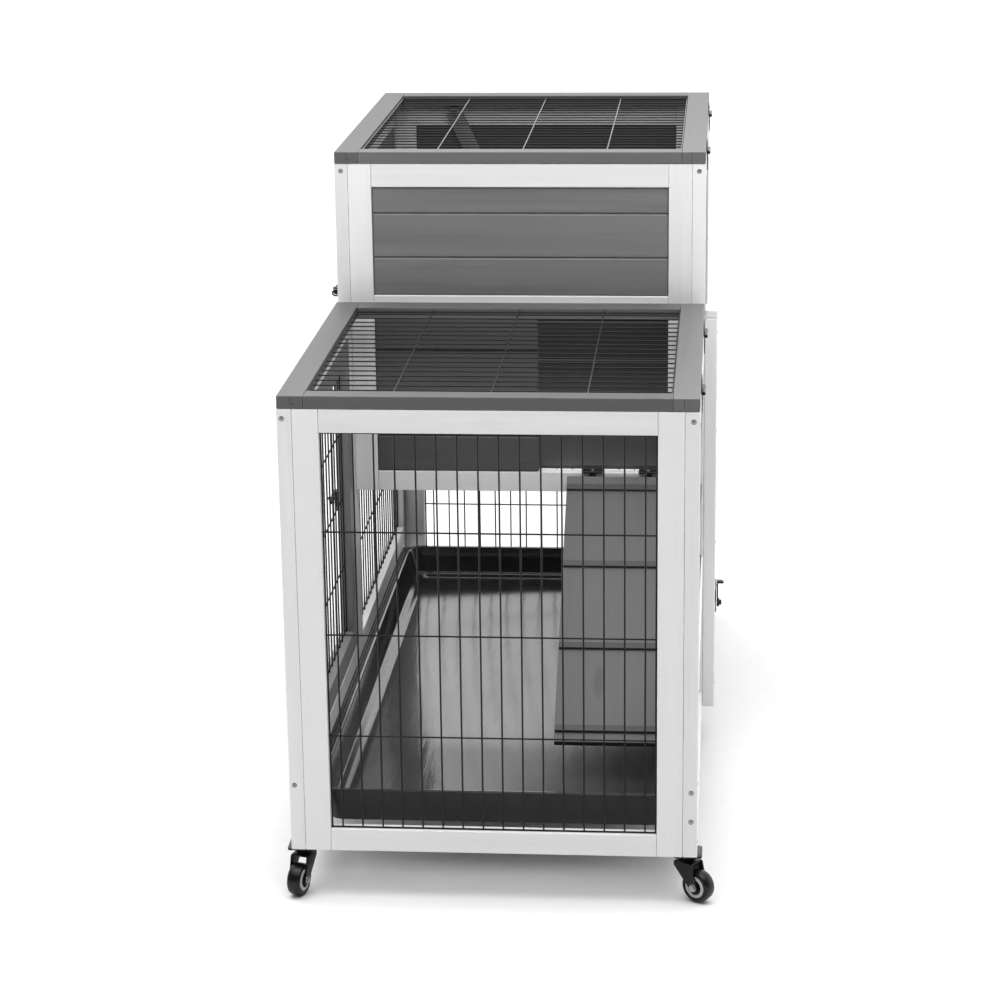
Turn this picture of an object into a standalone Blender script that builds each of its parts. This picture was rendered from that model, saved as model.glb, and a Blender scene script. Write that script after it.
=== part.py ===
"""Two-section rabbit hutch on casters: a single-storey run joined to a two-storey house.

Metres, +Z up. +X is the back, where the lids are hinged, and -X is the front, with the doors and the tray.
-Y is the near end of the run, +Y is the far end of the house. The origin is on the ground under the middle.
"""

import math

import bmesh
import bpy

# ---------------------------------------------------------------- driving dimensions
WIDTH = 0.504          # over the side panels
LENGTH = 1.125         # over the end panels
RUN_LENGTH = 0.545     # near end to the front face of the house
BASE_Z = 0.062         # underside of the frames, which is the height of a caster
RUN_TOP = 0.628        # top of the run's frames
HOUSE_TOP = 0.832      # top of the house's frames
BOARD = 0.018          # thickness of every frame board
STILE = 0.032          # width of a frame's upright
GAP = 0.0003           # air between pieces that touch
PLAY = 0.002           # air round a door in its frame

LID_THICK = 0.0157
LID_RAIL = 0.032
LID_END_RAIL = 0.028
LID_BACK_RAIL = 0.036
LID_LENGTH = 0.530

WIRE = 0.002           # wire diameter
WIRE_PITCH = 0.025
MESH_THICK = 0.0028    # two crossing wires, pressed together by the weld
MESH_INSET = 0.007     # middle of the mesh behind the frame's outer face
BACK_MESH_INSET = 0.0044
LID_MESH_INSET = 0.0048

PLANK = 0.012          # thickness of the tongue-and-groove boards
GROOVE = 0.0015        # depth of the V at each joint

BOTTOM_RAIL_TOP = 0.0905
SLOT_TOP = 0.1245      # underside of the front panels' bottom rail, over the tray
RUN_OPEN_TOP = 0.599   # underside of the run's top rails
FLOOR_Z = 0.400        # top of the rail that carries the upper floor
FLOOR_RAIL_Z = 0.372
SILL_TOP = 0.404       # top of the middle rails of the house's side and far panels
HOUSE_OPEN_TOP = 0.800

DOOR_STILE = 0.030
DOORWAY_X = 0.0235     # the plank wall ends here and the doorway begins

TRAY_RIM_Z = 0.1225
TRAY_BOTTOM_Z = 0.0750
TRAY_WALL = 0.003
TRAY_LEAN = 0.012      # how far each wall leans in towards the bottom
TRAY_TRAVEL_ROOM = 0.0025

RAMP_X = (0.063, 0.203)
RAMP_SLOPE = math.radians(38.6)
RAMP_LENGTH = 0.425
RAMP_THICK = 0.010
CLEAT_HEIGHT = 0.004
CLEAT_WIDTH = 0.009
CLEATS_AT = (0.047, 0.347, 0.655, 0.955)   # share of the ramp's length

PROP_PIVOT = (-0.141, 0.8185)               # X and Z of the lid prop's screw
PROP_LEAN = math.radians(26)
PROP_LENGTH = 0.240
PROP_WIDTH = 0.024
PROP_THICK = 0.008

CASTER_X = 0.240
CASTER_INSET = 0.021   # caster axis from the end of the frame
WHEEL_RADIUS = 0.0205
WHEEL_WIDTH = 0.017
CASTER_TRAIL = 0.017   # axle behind the swivel axis
CASTER_HEADINGS = {    # direction of the trail, degrees from +X
    "near_front": -106.0,
    "near_back": -36.9,
    "far_front": 172.0,
    "far_back": 65.7,
}

# ---------------------------------------------------------------- places that follow
HALF_W = WIDTH / 2
HALF_L = LENGTH / 2
INNER_X = HALF_W - BOARD
OPEN_X = INNER_X - STILE
SEAM_Y = -HALF_L + RUN_LENGTH
OPEN_NEAR_Y = -HALF_L + STILE
OPEN_FAR_Y = HALF_L - STILE
RUN_POST_Y = SEAM_Y - STILE
HOUSE_POST_Y = SEAM_Y + STILE
HINGE_X = HALF_W + 0.0028

# name: (colour, roughness, metallic)
FINISHES = {
    "white_wood": ((0.80, 0.80, 0.79), 0.55, 0.0),
    "grey_wood": ((0.150, 0.150, 0.155), 0.55, 0.0),
    "slate_wood": ((0.155, 0.155, 0.160), 0.60, 0.0),
    "wire": ((0.012, 0.012, 0.012), 0.35, 0.6),
    "black_steel": ((0.010, 0.010, 0.011), 0.32, 0.7),
    "tray_plastic": ((0.050, 0.052, 0.055), 0.22, 0.0),
    "black_rubber": ((0.018, 0.018, 0.018), 0.45, 0.0),
}


def clear_scene():
    for old in list(bpy.data.objects):
        bpy.data.objects.remove(old, do_unlink=True)


clear_scene()
hutch = bpy.data.collections.new("rabbit_hutch")
bpy.context.scene.collection.children.link(hutch)


# ---------------------------------------------------------------- helpers
def finish(obj, finish_name):
    """Give a piece a material of its own in one of the hutch's finishes."""
    colour, roughness, metallic = FINISHES[finish_name]
    made = bpy.data.materials.new(obj.name + "_" + finish_name)
    made.use_nodes = True
    shader = made.node_tree.nodes["Principled BSDF"]
    shader.inputs["Base Color"].default_value = (*colour, 1.0)
    shader.inputs["Roughness"].default_value = roughness
    shader.inputs["Metallic"].default_value = metallic
    obj.data.materials.clear()
    obj.data.materials.append(made)


def place(obj, location, parent=None):
    """Put a piece at a world location, under a pivot that is not turned."""
    hutch.objects.link(obj)
    offset = parent.location if parent else (0.0, 0.0, 0.0)
    obj.location = [at - start for at, start in zip(location, offset)]
    obj.parent = parent
    return obj


def pivot(name, location):
    """An empty on a joint's axis."""
    empty = bpy.data.objects.new(name, None)
    empty.empty_display_size = 0.02
    empty.location = location
    hutch.objects.link(empty)
    return empty


def rectangle(low_u, high_u, low_v, high_v):
    return [(low_u, low_v), (high_u, low_v), (high_u, high_v), (low_u, high_v)]


FACING = {
    "end": (math.radians(90), 0.0, 0.0),                 # outline in X and Z, thick along Y
    "side": (math.radians(90), 0.0, math.radians(90)),   # outline in Y and Z, thick along X
    "flat": (0.0, 0.0, 0.0),                             # outline in X and Y, thick along Z
}
THICK_AXIS = {"end": 1, "side": 0, "flat": 2}


def sheet(name, facing, loops, low, high, finish_name, parent=None):
    """A flat piece between two parallel planes: the first loop is its outline, the rest are holes."""
    curve = bpy.data.curves.new(name, "CURVE")
    curve.dimensions = "2D"
    curve.fill_mode = "BOTH"
    curve.extrude = (high - low) / 2
    location = [0.0, 0.0, 0.0]
    location[THICK_AXIS[facing]] = (low + high) / 2
    offset = [0.0, 0.0] if parent is None else {
        "end": (parent.location.x, parent.location.z),
        "side": (parent.location.y, parent.location.z),
        "flat": (parent.location.x, parent.location.y),
    }[facing]
    for loop in loops:
        spline = curve.splines.new("POLY")
        spline.points.add(len(loop) - 1)
        for point, (u, v) in zip(spline.points, loop):
            point.co = (u - offset[0], v - offset[1], 0.0, 1.0)
        spline.use_cyclic_u = True
    obj = bpy.data.objects.new(name, curve)
    obj.rotation_euler = FACING[facing]
    place(obj, location, parent)
    for axis in range(3):
        if axis != THICK_AXIS[facing]:
            obj.location[axis] = 0.0
    finish(obj, finish_name)
    return obj


def box(name, low, high, finish_name, parent=None):
    """A board with its sides along the axes."""
    mesh = bpy.data.meshes.new(name)
    shape = bmesh.new()
    bmesh.ops.create_cube(shape, size=1.0)
    bmesh.ops.scale(shape, vec=[top - bottom for bottom, top in zip(low, high)], verts=shape.verts)
    shape.to_mesh(mesh)
    shape.free()
    obj = bpy.data.objects.new(name, mesh)
    place(obj, [(bottom + top) / 2 for bottom, top in zip(low, high)], parent)
    finish(obj, finish_name)
    return obj


def rod(name, start, end, radius, finish_name, parent=None, sides=16):
    """A round bar between two points on a line along X, Y or Z."""
    span = [b - a for a, b in zip(start, end)]
    axis = max(range(3), key=lambda i: abs(span[i]))
    mesh = bpy.data.meshes.new(name)
    shape = bmesh.new()
    bmesh.ops.create_cone(
        shape, cap_ends=True, segments=sides, radius1=radius, radius2=radius, depth=abs(span[axis])
    )
    shape.to_mesh(mesh)
    shape.free()
    obj = bpy.data.objects.new(name, mesh)
    obj.rotation_euler = ((0, math.radians(90), 0), (math.radians(90), 0, 0), (0, 0, 0))[axis]
    place(obj, [(a + b) / 2 for a, b in zip(start, end)], parent)
    finish(obj, finish_name)
    return obj


def tapered_block(name, bottom, top, low_z, high_z):
    """A block whose four walls lean, given the half sizes of its bottom and top."""
    mesh = bpy.data.meshes.new(name)
    shape = bmesh.new()
    bmesh.ops.create_cube(shape, size=2.0)
    for corner in shape.verts:
        half = top if corner.co.z > 0 else bottom
        corner.co = (
            corner.co.x * half[0],
            corner.co.y * half[1],
            high_z if corner.co.z > 0 else low_z,
        )
    shape.to_mesh(mesh)
    shape.free()
    obj = bpy.data.objects.new(name, mesh)
    hutch.objects.link(obj)
    return obj


def solid(obj):
    """Turn a curve piece into a mesh piece in the same place."""
    graph = bpy.context.evaluated_depsgraph_get()
    mesh = bpy.data.meshes.new_from_object(obj.evaluated_get(graph))
    shape = bmesh.new()
    shape.from_mesh(mesh)
    bmesh.ops.remove_doubles(shape, verts=shape.verts, dist=1e-6)
    shape.to_mesh(mesh)
    shape.free()
    made = bpy.data.objects.new(obj.name + "_solid", mesh)
    made.matrix_world = obj.matrix_world
    hutch.objects.link(made)
    bpy.data.objects.remove(obj, do_unlink=True)
    return made


def combine(base, added=(), removed=()):
    """Join pieces to a base and cut others from it, for good, and keep the base."""
    for other, operation in [(o, "UNION") for o in added] + [(o, "DIFFERENCE") for o in removed]:
        change = base.modifiers.new(operation.lower(), "BOOLEAN")
        change.operation = operation
        change.object = other
    bpy.context.view_layer.update()
    graph = bpy.context.evaluated_depsgraph_get()
    mesh = bpy.data.meshes.new_from_object(base.evaluated_get(graph))
    material = base.data.materials[0] if base.data.materials else None
    base.modifiers.clear()
    base.data = mesh
    if material:
        base.data.materials.clear()
        base.data.materials.append(material)
    for other in [*added, *removed]:
        bpy.data.objects.remove(other, do_unlink=True)
    return base


def shape_of(obj):
    """Take a finished mesh out of its object, in world coordinates, to be used more than once."""
    bpy.context.view_layer.update()
    mesh = obj.data.copy()
    mesh.transform(obj.matrix_world)
    bpy.data.objects.remove(obj, do_unlink=True)
    return mesh


# ---------------------------------------------------------------- meshes and plank walls
def spread(low, high, middle=0.0, pitch=WIRE_PITCH):
    """Wire positions at the pitch, half a pitch each side of the middle, inside a span."""
    first = math.ceil((low - middle) / pitch - 0.5)
    last = math.floor((high - middle) / pitch - 0.5)
    return [middle + (i + 0.5) * pitch for i in range(first, last + 1)]


def lattice(name, facing, span_u, span_v, wires_u, wires_v, middle, parent=None):
    """Welded wire mesh: wires at the given places both ways, and one round the edge."""
    half = WIRE / 2
    edges_u = [span_u[0] + half, *wires_u, span_u[1] - half]
    edges_v = [span_v[0] + half, *wires_v, span_v[1] - half]
    loops = [rectangle(*span_u, *span_v)]
    for left, right in zip(edges_u, edges_u[1:]):
        for below, above in zip(edges_v, edges_v[1:]):
            loops.append(rectangle(left + half, right - half, below + half, above - half))
    low, high = middle - MESH_THICK / 2, middle + MESH_THICK / 2
    return sheet(name, facing, loops, low, high, "wire", parent)


def plank_outline(outer, inner, bottom, top, joints):
    """End view of tongue-and-groove boards, with a V on both faces at each joint."""
    into = math.copysign(GROOVE, inner - outer)
    points = [(outer, bottom)]
    for z in joints:
        points += [(outer, z - GROOVE), (outer + into, z), (outer, z + GROOVE)]
    points += [(outer, top), (inner, top)]
    for z in reversed(joints):
        points += [(inner, z + GROOVE), (inner - into, z), (inner, z - GROOVE)]
    points.append((inner, bottom))
    return points


def planks(name, along, outer, inner, bottom, top, span, joints, finish_name, parent=None):
    """A wall of level boards: "x" runs them along X, for an end wall, and "y" along Y."""
    facing = "side" if along == "x" else "end"
    outline = plank_outline(outer, inner, bottom, top, joints)
    return sheet(name, facing, [outline], *span, finish_name, parent)


def grown(span, by):
    return (span[0] - by, span[1] + by)


# ---------------------------------------------------------------- fixed panels
def end_panels():
    """The near end, the far end and the house's own front end, between the side panels."""
    across = (-INNER_X + GAP, INNER_X - GAP)
    opening = (-OPEN_X, OPEN_X)
    fill = grown(opening, -GAP)

    near = (-HALF_L, -HALF_L + BOARD)
    near_open = (BOTTOM_RAIL_TOP, RUN_OPEN_TOP)
    sheet(
        "near_end_frame", "end",
        [rectangle(*across, BASE_Z, RUN_TOP), rectangle(*opening, *near_open)],
        *near, "white_wood",
    )
    lattice(
        "near_end_mesh", "end", fill, grown(near_open, -GAP),
        spread(*grown(fill, -0.006)), (0.212, 0.343, 0.474), near[0] + MESH_INSET,
    )

    far = (HALF_L - BOARD, HALF_L)
    low_open = (BOTTOM_RAIL_TOP, FLOOR_RAIL_Z)
    high_open = (SILL_TOP, HOUSE_OPEN_TOP)
    sheet(
        "far_end_frame", "end",
        [
            rectangle(*across, BASE_Z, HOUSE_TOP),
            rectangle(*opening, *low_open),
            rectangle(*opening, *high_open),
        ],
        *far, "white_wood",
    )
    lattice(
        "far_end_mesh", "end", fill, grown(low_open, -GAP),
        spread(*grown(fill, -0.006)), (0.184, 0.278), far[1] - MESH_INSET,
    )
    planks(
        "far_end_planks", "x", far[1] - 0.003, far[1] - 0.003 - PLANK,
        high_open[0] + GAP, high_open[1] - GAP, fill, board_joints(high_open), "grey_wood",
    )

    house = (SEAM_Y, SEAM_Y + BOARD)
    low_open = (FLOOR_Z, 0.620)
    high_open = (0.650, HOUSE_OPEN_TOP)
    sheet(
        "house_end_frame", "end",
        [
            rectangle(*across, FLOOR_RAIL_Z, HOUSE_TOP),
            rectangle(*opening, *low_open),
            rectangle(*opening, *high_open),
        ],
        *house, "white_wood",
    )
    planks(
        "house_end_planks", "x", house[0] + 0.0025, house[0] + 0.0025 + PLANK,
        high_open[0] + GAP, high_open[1] - GAP, fill, (0.7025, 0.7635), "slate_wood",
    )
    planks(
        "stair_wall_planks", "x", house[0] + 0.001, house[0] + 0.001 + PLANK,
        low_open[0] + GAP, low_open[1] - GAP, (fill[0], DOORWAY_X),
        (0.451, 0.512, 0.573), "grey_wood",
    )


def board_joints(opening, board=0.062):
    """Joints between boards of equal width, measured down from the top of an opening."""
    count = int((opening[1] - opening[0] - 0.02) / board)
    return sorted(opening[1] - board * (i + 1) for i in range(count))


def side_outline(low_y, high_y, top, feet):
    """A side panel seen from the side: it stops above the tray except at the ends that have feet."""
    near_foot, far_foot = feet
    points = []
    if near_foot:
        points += [(low_y, BASE_Z), (low_y + STILE, BASE_Z), (low_y + STILE, SLOT_TOP)]
    else:
        points.append((low_y, SLOT_TOP))
    if far_foot:
        points += [(high_y - STILE, SLOT_TOP), (high_y - STILE, BASE_Z), (high_y, BASE_Z)]
    else:
        points.append((high_y, SLOT_TOP))
    return points + [(high_y, top), (low_y, top)]


FRONT_RAIL_TOP = SLOT_TOP + 0.0275
RUN_OPEN = (OPEN_NEAR_Y, RUN_POST_Y)
HOUSE_OPEN = (HOUSE_POST_Y, OPEN_FAR_Y)
BACK_SPLIT = (0.262, 0.290)   # the run's back rail between the board and the mesh


def side_panels():
    """The front and back of the run and of the house."""
    run = (-HALF_L, SEAM_Y - GAP)
    house = (SEAM_Y, HALF_L)
    front = (-HALF_W, -INNER_X)
    back = (INNER_X, HALF_W)
    high_open = (SILL_TOP, HOUSE_OPEN_TOP)

    sheet(
        "run_front_frame", "side",
        [side_outline(*run, RUN_TOP, (True, False)), rectangle(*RUN_OPEN, FRONT_RAIL_TOP, RUN_OPEN_TOP)],
        *front, "white_wood",
    )
    sheet(
        "house_front_frame", "side",
        [
            side_outline(*house, HOUSE_TOP, (False, True)),
            rectangle(*HOUSE_OPEN, FRONT_RAIL_TOP, FLOOR_RAIL_Z),
            rectangle(*HOUSE_OPEN, *high_open),
        ],
        *front, "white_wood",
    )
    house_middle = sum(HOUSE_OPEN) / 2
    run_middle = sum(RUN_OPEN) / 2
    lattice(
        "house_front_mesh", "side", grown(HOUSE_OPEN, -GAP),
        (FRONT_RAIL_TOP + GAP, FLOOR_RAIL_Z - GAP),
        spread(*grown(HOUSE_OPEN, -0.006), house_middle), (0.262,), front[0] + MESH_INSET,
    )

    sheet(
        "run_back_frame", "side",
        [
            rectangle(*run, BASE_Z, RUN_TOP),
            rectangle(*RUN_OPEN, BOTTOM_RAIL_TOP, BACK_SPLIT[0]),
            rectangle(*RUN_OPEN, BACK_SPLIT[1], RUN_OPEN_TOP),
        ],
        *back, "white_wood",
    )
    lattice(
        "run_back_mesh", "side", grown(RUN_OPEN, -GAP), (BACK_SPLIT[1] + GAP, RUN_OPEN_TOP - GAP),
        spread(*grown(RUN_OPEN, -0.006), run_middle), (0.393, 0.496), back[1] - BACK_MESH_INSET,
    )
    planks(
        "run_back_board", "y", back[1] - 0.003, back[1] - 0.003 - PLANK,
        BOTTOM_RAIL_TOP + GAP, BACK_SPLIT[0] - GAP, grown(RUN_OPEN, -GAP), (0.148, 0.205), "white_wood",
    )
    sheet(
        "house_back_frame", "side",
        [
            rectangle(*house, BASE_Z, HOUSE_TOP),
            rectangle(*HOUSE_OPEN, BOTTOM_RAIL_TOP, FLOOR_RAIL_Z),
            rectangle(*HOUSE_OPEN, *high_open),
        ],
        *back, "white_wood",
    )
    planks(
        "house_back_planks", "y", back[1] - 0.003, back[1] - 0.003 - PLANK,
        high_open[0] + GAP, high_open[1] - GAP, grown(HOUSE_OPEN, -GAP), board_joints(high_open), "grey_wood",
    )


BATTEN_Y = (SEAM_Y - 0.014, SEAM_Y + 0.028)
BATTEN_X = (HALF_W + GAP, HALF_W + 0.0173)


def inner_boards():
    """The batten over the seam, the upper floor and the rails and slats under the tray."""
    cap_z = 0.6235
    box("seam_batten", (BATTEN_X[0], BATTEN_Y[0], BASE_Z), (BATTEN_X[1], BATTEN_Y[1], cap_z), "white_wood")
    box(
        "seam_batten_cap", (BATTEN_X[0], BATTEN_Y[0], cap_z + GAP),
        (BATTEN_X[1], BATTEN_Y[1], cap_z + 0.011), "white_wood",
    )
    side = INNER_X - GAP
    box(
        "house_floor", (-side, SEAM_Y + BOARD + GAP, FLOOR_Z + GAP),
        (side, HALF_L - BOARD - GAP, FLOOR_Z + 0.006), "slate_wood",
    )
    slat_top = TRAY_BOTTOM_Z - 0.0005
    box(
        "front_base_rail", (-HALF_W, OPEN_NEAR_Y + GAP, BASE_Z),
        (-INNER_X, OPEN_FAR_Y - GAP, slat_top), "white_wood",
    )
    for end, middle in (("near", -0.440), ("far", 0.455)):
        box(
            "tray_slat_" + end, (-side, middle - 0.020, BASE_Z), (side, middle + 0.020, slat_top), "white_wood"
        )


# ---------------------------------------------------------------- lids
def lid(name, near_y):
    """A framed wire-mesh lid with its hinge axis along the back edge, on a pivot."""
    top_of = {"run": RUN_TOP, "house": HOUSE_TOP}[name]
    length = {"run": LID_LENGTH, "house": HALF_L + 0.001 - near_y}[name]
    low_z = top_of + GAP
    axis = pivot(name + "_lid_axis", (HINGE_X, near_y + length / 2, top_of))
    half = HALF_W - 0.0005
    far_y = near_y + length
    open_x = (-half + LID_RAIL, half - LID_RAIL)
    open_y = (near_y + LID_END_RAIL, far_y - LID_BACK_RAIL)
    sheet(
        name + "_lid_frame", "flat", [rectangle(-half, half, near_y, far_y), rectangle(*open_x, *open_y)],
        low_z, low_z + LID_THICK, "grey_wood", axis,
    )
    lattice(
        name + "_lid_mesh", "flat", grown(open_x, -GAP), grown(open_y, -GAP), (-0.115, 0.002, 0.117),
        spread(*grown(open_y, -0.006), near_y + length / 2), low_z + LID_THICK - LID_MESH_INSET, axis,
    )
    return axis


def lid_hinge(name, top_of, middle_y):
    """Fixed leaf and barrel of a butt hinge, below a lid's back edge."""
    reach = 0.024
    leaf = box(
        name, (HALF_W + GAP, middle_y - 0.020, top_of - reach),
        (HALF_W + 0.0015, middle_y + 0.020, top_of), "black_steel",
    )
    barrel = rod(
        name + "_barrel", (HINGE_X, middle_y - 0.020, top_of), (HINGE_X, middle_y + 0.020, top_of),
        0.0022, "black_steel", sides=12,
    )
    return combine(leaf, [barrel])


def lids():
    run_near = -HALF_L
    lid("run", run_near)
    lid("house", SEAM_Y - 0.001)
    lid_hinge("run_lid_hinge_near", RUN_TOP, run_near + 0.110)
    lid_hinge("run_lid_hinge_far", RUN_TOP, run_near + 0.420)
    lid_hinge("house_lid_hinge_near", HOUSE_TOP, SEAM_Y + 0.116)
    lid_hinge("house_lid_hinge_far", HOUSE_TOP, SEAM_Y + 0.464)


# ---------------------------------------------------------------- doors and latches
def door_frame(name, face, opening_y, opening_z, axis):
    """A four-board door frame that fits an opening in a side panel; returns what it leaves open."""
    y, z = grown(opening_y, -PLAY), grown(opening_z, -PLAY)
    hole_y, hole_z = grown(y, -DOOR_STILE), grown(z, -DOOR_STILE)
    sheet(name, "side", [rectangle(*y, *z), rectangle(*hole_y, *hole_z)], *face, "grey_wood", axis)
    return grown(hole_y, -GAP), grown(hole_z, -GAP)


BOLT_RADIUS = 0.003
BOLT_X = -HALF_W - 0.0068
BOLT_TRAVEL = 0.011


def barrel_bolt(name, door_edge_y, toward, z, door_axis):
    """A barrel bolt on the front face of a door, drawn back; it slides over the door's free edge."""
    def along(a, b):
        return sorted((door_edge_y + toward * a, door_edge_y + toward * b))

    plate_y = along(-0.030, -0.002)
    plate = box(
        name + "_bolt_guide", (-HALF_W - 0.0018, plate_y[0], z - 0.0125),
        (-HALF_W - GAP, plate_y[1], z + 0.0125), "black_steel", door_axis,
    )
    lugs = []
    for low, high in ((-0.0290, -0.0250), (-0.0065, -0.0025)):
        lug_y = along(low, high)
        lugs.append(
            box(
                name + "_lug", (BOLT_X - 0.0052, lug_y[0], z - 0.0060),
                (-HALF_W - 0.0010, lug_y[1], z + 0.0060), "black_steel", door_axis,
            )
        )
    bore_y = along(-0.040, 0.010)
    bore = rod(
        name + "_bore", (BOLT_X, bore_y[0], z), (BOLT_X, bore_y[1], z), BOLT_RADIUS + 0.0004,
        "black_steel", door_axis,
    )
    combine(plate, lugs, [bore])

    slide = pivot(name + "_bolt_slide", (BOLT_X, door_edge_y - toward * 0.022, z))
    bolt_y = along(-0.041, -0.003)
    bolt = rod(
        name + "_bolt", (BOLT_X, bolt_y[0], z), (BOLT_X, bolt_y[1], z), BOLT_RADIUS, "black_steel", slide
    )
    knob_y = door_edge_y - toward * 0.0213
    knob = rod(
        name + "_knob", (BOLT_X - 0.0075, knob_y, z), (BOLT_X, knob_y, z), 0.0028, "black_steel", slide, 12
    )
    combine(bolt, [knob])


def front_doors():
    """The run's mesh door, hinged at the near post, and the house door, hinged at the far post."""
    face = (-HALF_W, -INNER_X)
    run_z = (FRONT_RAIL_TOP, RUN_OPEN_TOP)
    axis = pivot("run_door_axis", (-HINGE_X, RUN_OPEN[0] + PLAY / 2, sum(run_z) / 2))
    hole_y, hole_z = door_frame("run_door_frame", face, RUN_OPEN, run_z, axis)
    lattice(
        "run_door_mesh", "side", hole_y, hole_z, spread(*grown(hole_y, -0.006), sum(hole_y) / 2),
        (0.279, 0.375, 0.471), face[0] + MESH_INSET, axis,
    )
    barrel_bolt("run_door", RUN_OPEN[1] - PLAY, 1, 0.375, axis)

    house_z = (SILL_TOP, HOUSE_OPEN_TOP)
    axis = pivot("house_door_axis", (-HINGE_X, HOUSE_OPEN[1] - PLAY / 2, sum(house_z) / 2))
    hole_y, hole_z = door_frame("house_door_frame", face, HOUSE_OPEN, house_z, axis)
    planks(
        "house_door_planks", "y", face[0] + 0.003, face[0] + 0.003 + PLANK, *hole_z, hole_y,
        board_joints(hole_z), "slate_wood", axis,
    )
    barrel_bolt("house_door", HOUSE_OPEN[0] + PLAY, -1, 0.648, axis)


TURN_ARM_Z = 0.207            # pivot of the turn latch
TURN_ARM_Y = SEAM_Y + 0.0185
TURN_ARM_X = (BATTEN_X[1] + 0.0024, BATTEN_X[1] + 0.0044)


def access_door():
    """The plank door low on the back of the house, hinged at the far post and held by a turn latch."""
    face = (INNER_X, HALF_W)
    opening_z = (BOTTOM_RAIL_TOP, FLOOR_RAIL_Z)
    axis = pivot("access_door_axis", (HINGE_X, HOUSE_OPEN[1] - PLAY / 2, sum(opening_z) / 2))
    hole_y, hole_z = door_frame("access_door_frame", face, HOUSE_OPEN, opening_z, axis)
    planks(
        "access_door_planks", "y", face[1] - 0.003, face[1] - 0.003 - PLANK, *hole_z, hole_y,
        board_joints(hole_z, 0.055), "slate_wood", axis,
    )
    edge_y = HOUSE_OPEN[0] + PLAY
    box(
        "access_door_catch", (HALF_W + GAP, edge_y + 0.004, TURN_ARM_Z - 0.008),
        (TURN_ARM_X[0] - 0.0006, edge_y + 0.022, TURN_ARM_Z + 0.008), "black_steel", axis,
    )

    batten_face = BATTEN_X[1] + GAP
    box(
        "access_latch_plate", (batten_face, TURN_ARM_Y - 0.009, TURN_ARM_Z - 0.013),
        (batten_face + 0.0015, TURN_ARM_Y + 0.009, TURN_ARM_Z + 0.033), "black_steel",
    )
    turn = pivot("access_latch_axis", (TURN_ARM_X[0], TURN_ARM_Y, TURN_ARM_Z))
    arm = box(
        "access_latch_arm", (TURN_ARM_X[0], TURN_ARM_Y - 0.005, TURN_ARM_Z),
        (TURN_ARM_X[1], TURN_ARM_Y + 0.005, TURN_ARM_Z + 0.032), "black_steel", turn,
    )
    tab = box(
        "access_latch_tab", (TURN_ARM_X[0], TURN_ARM_Y - 0.005, TURN_ARM_Z + 0.029),
        (BATTEN_X[1] + 0.0122, TURN_ARM_Y + 0.005, TURN_ARM_Z + 0.0321), "black_steel", turn,
    )
    boss = rod(
        "access_latch_boss", (TURN_ARM_X[0], TURN_ARM_Y, TURN_ARM_Z),
        (BATTEN_X[1] + 0.0092, TURN_ARM_Y, TURN_ARM_Z), 0.0062, "black_steel", turn,
    )
    combine(arm, [tab, boss])


# ---------------------------------------------------------------- tray, ramp and lid prop
TRAY_X = INNER_X - TRAY_TRAVEL_ROOM
TRAY_Y = (-HALF_L + 0.0505, HALF_L - 0.035)


def tray():
    """One long pull-out tray with leaning walls and a flat rim, which is wider along the front."""
    half_y = (TRAY_Y[1] - TRAY_Y[0]) / 2
    rim_thick = 0.0022
    rim_width = 0.005
    slide = pivot("tray_slide", (0.0, sum(TRAY_Y) / 2, 0.0))

    def half(inset):
        return (TRAY_X - inset, half_y - inset)

    shell = tapered_block(
        "tray", half(rim_width + TRAY_LEAN), half(rim_width), TRAY_BOTTOM_Z, TRAY_RIM_Z - rim_thick / 2
    )
    rim = tapered_block("tray_rim", half(0.0), half(0.0), TRAY_RIM_Z - rim_thick, TRAY_RIM_Z)
    hollow = tapered_block(
        "tray_hollow", half(rim_width + TRAY_LEAN + TRAY_WALL), half(rim_width + TRAY_WALL - TRAY_LEAN * 0.1),
        TRAY_BOTTOM_Z + TRAY_WALL, TRAY_RIM_Z + 0.004,
    )
    lip = box(
        "tray_lip", (-HALF_W + 0.001, -half_y + 0.008, TRAY_RIM_Z - rim_thick),
        (-TRAY_X + 0.002, half_y - 0.008, TRAY_RIM_Z), "tray_plastic",
    )
    combine(shell, [rim, lip], [hollow])
    shell.parent = slide
    finish(shell, "tray_plastic")


RAMP_AXIS = (SEAM_Y - 0.0025, FLOOR_Z + 0.0010)    # Y and Z of the ramp's hinge pins
RAMP_HEAD = (SEAM_Y - 0.0075, FLOOR_Z - 0.0030)    # Y and Z of the top edge of the board


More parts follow.
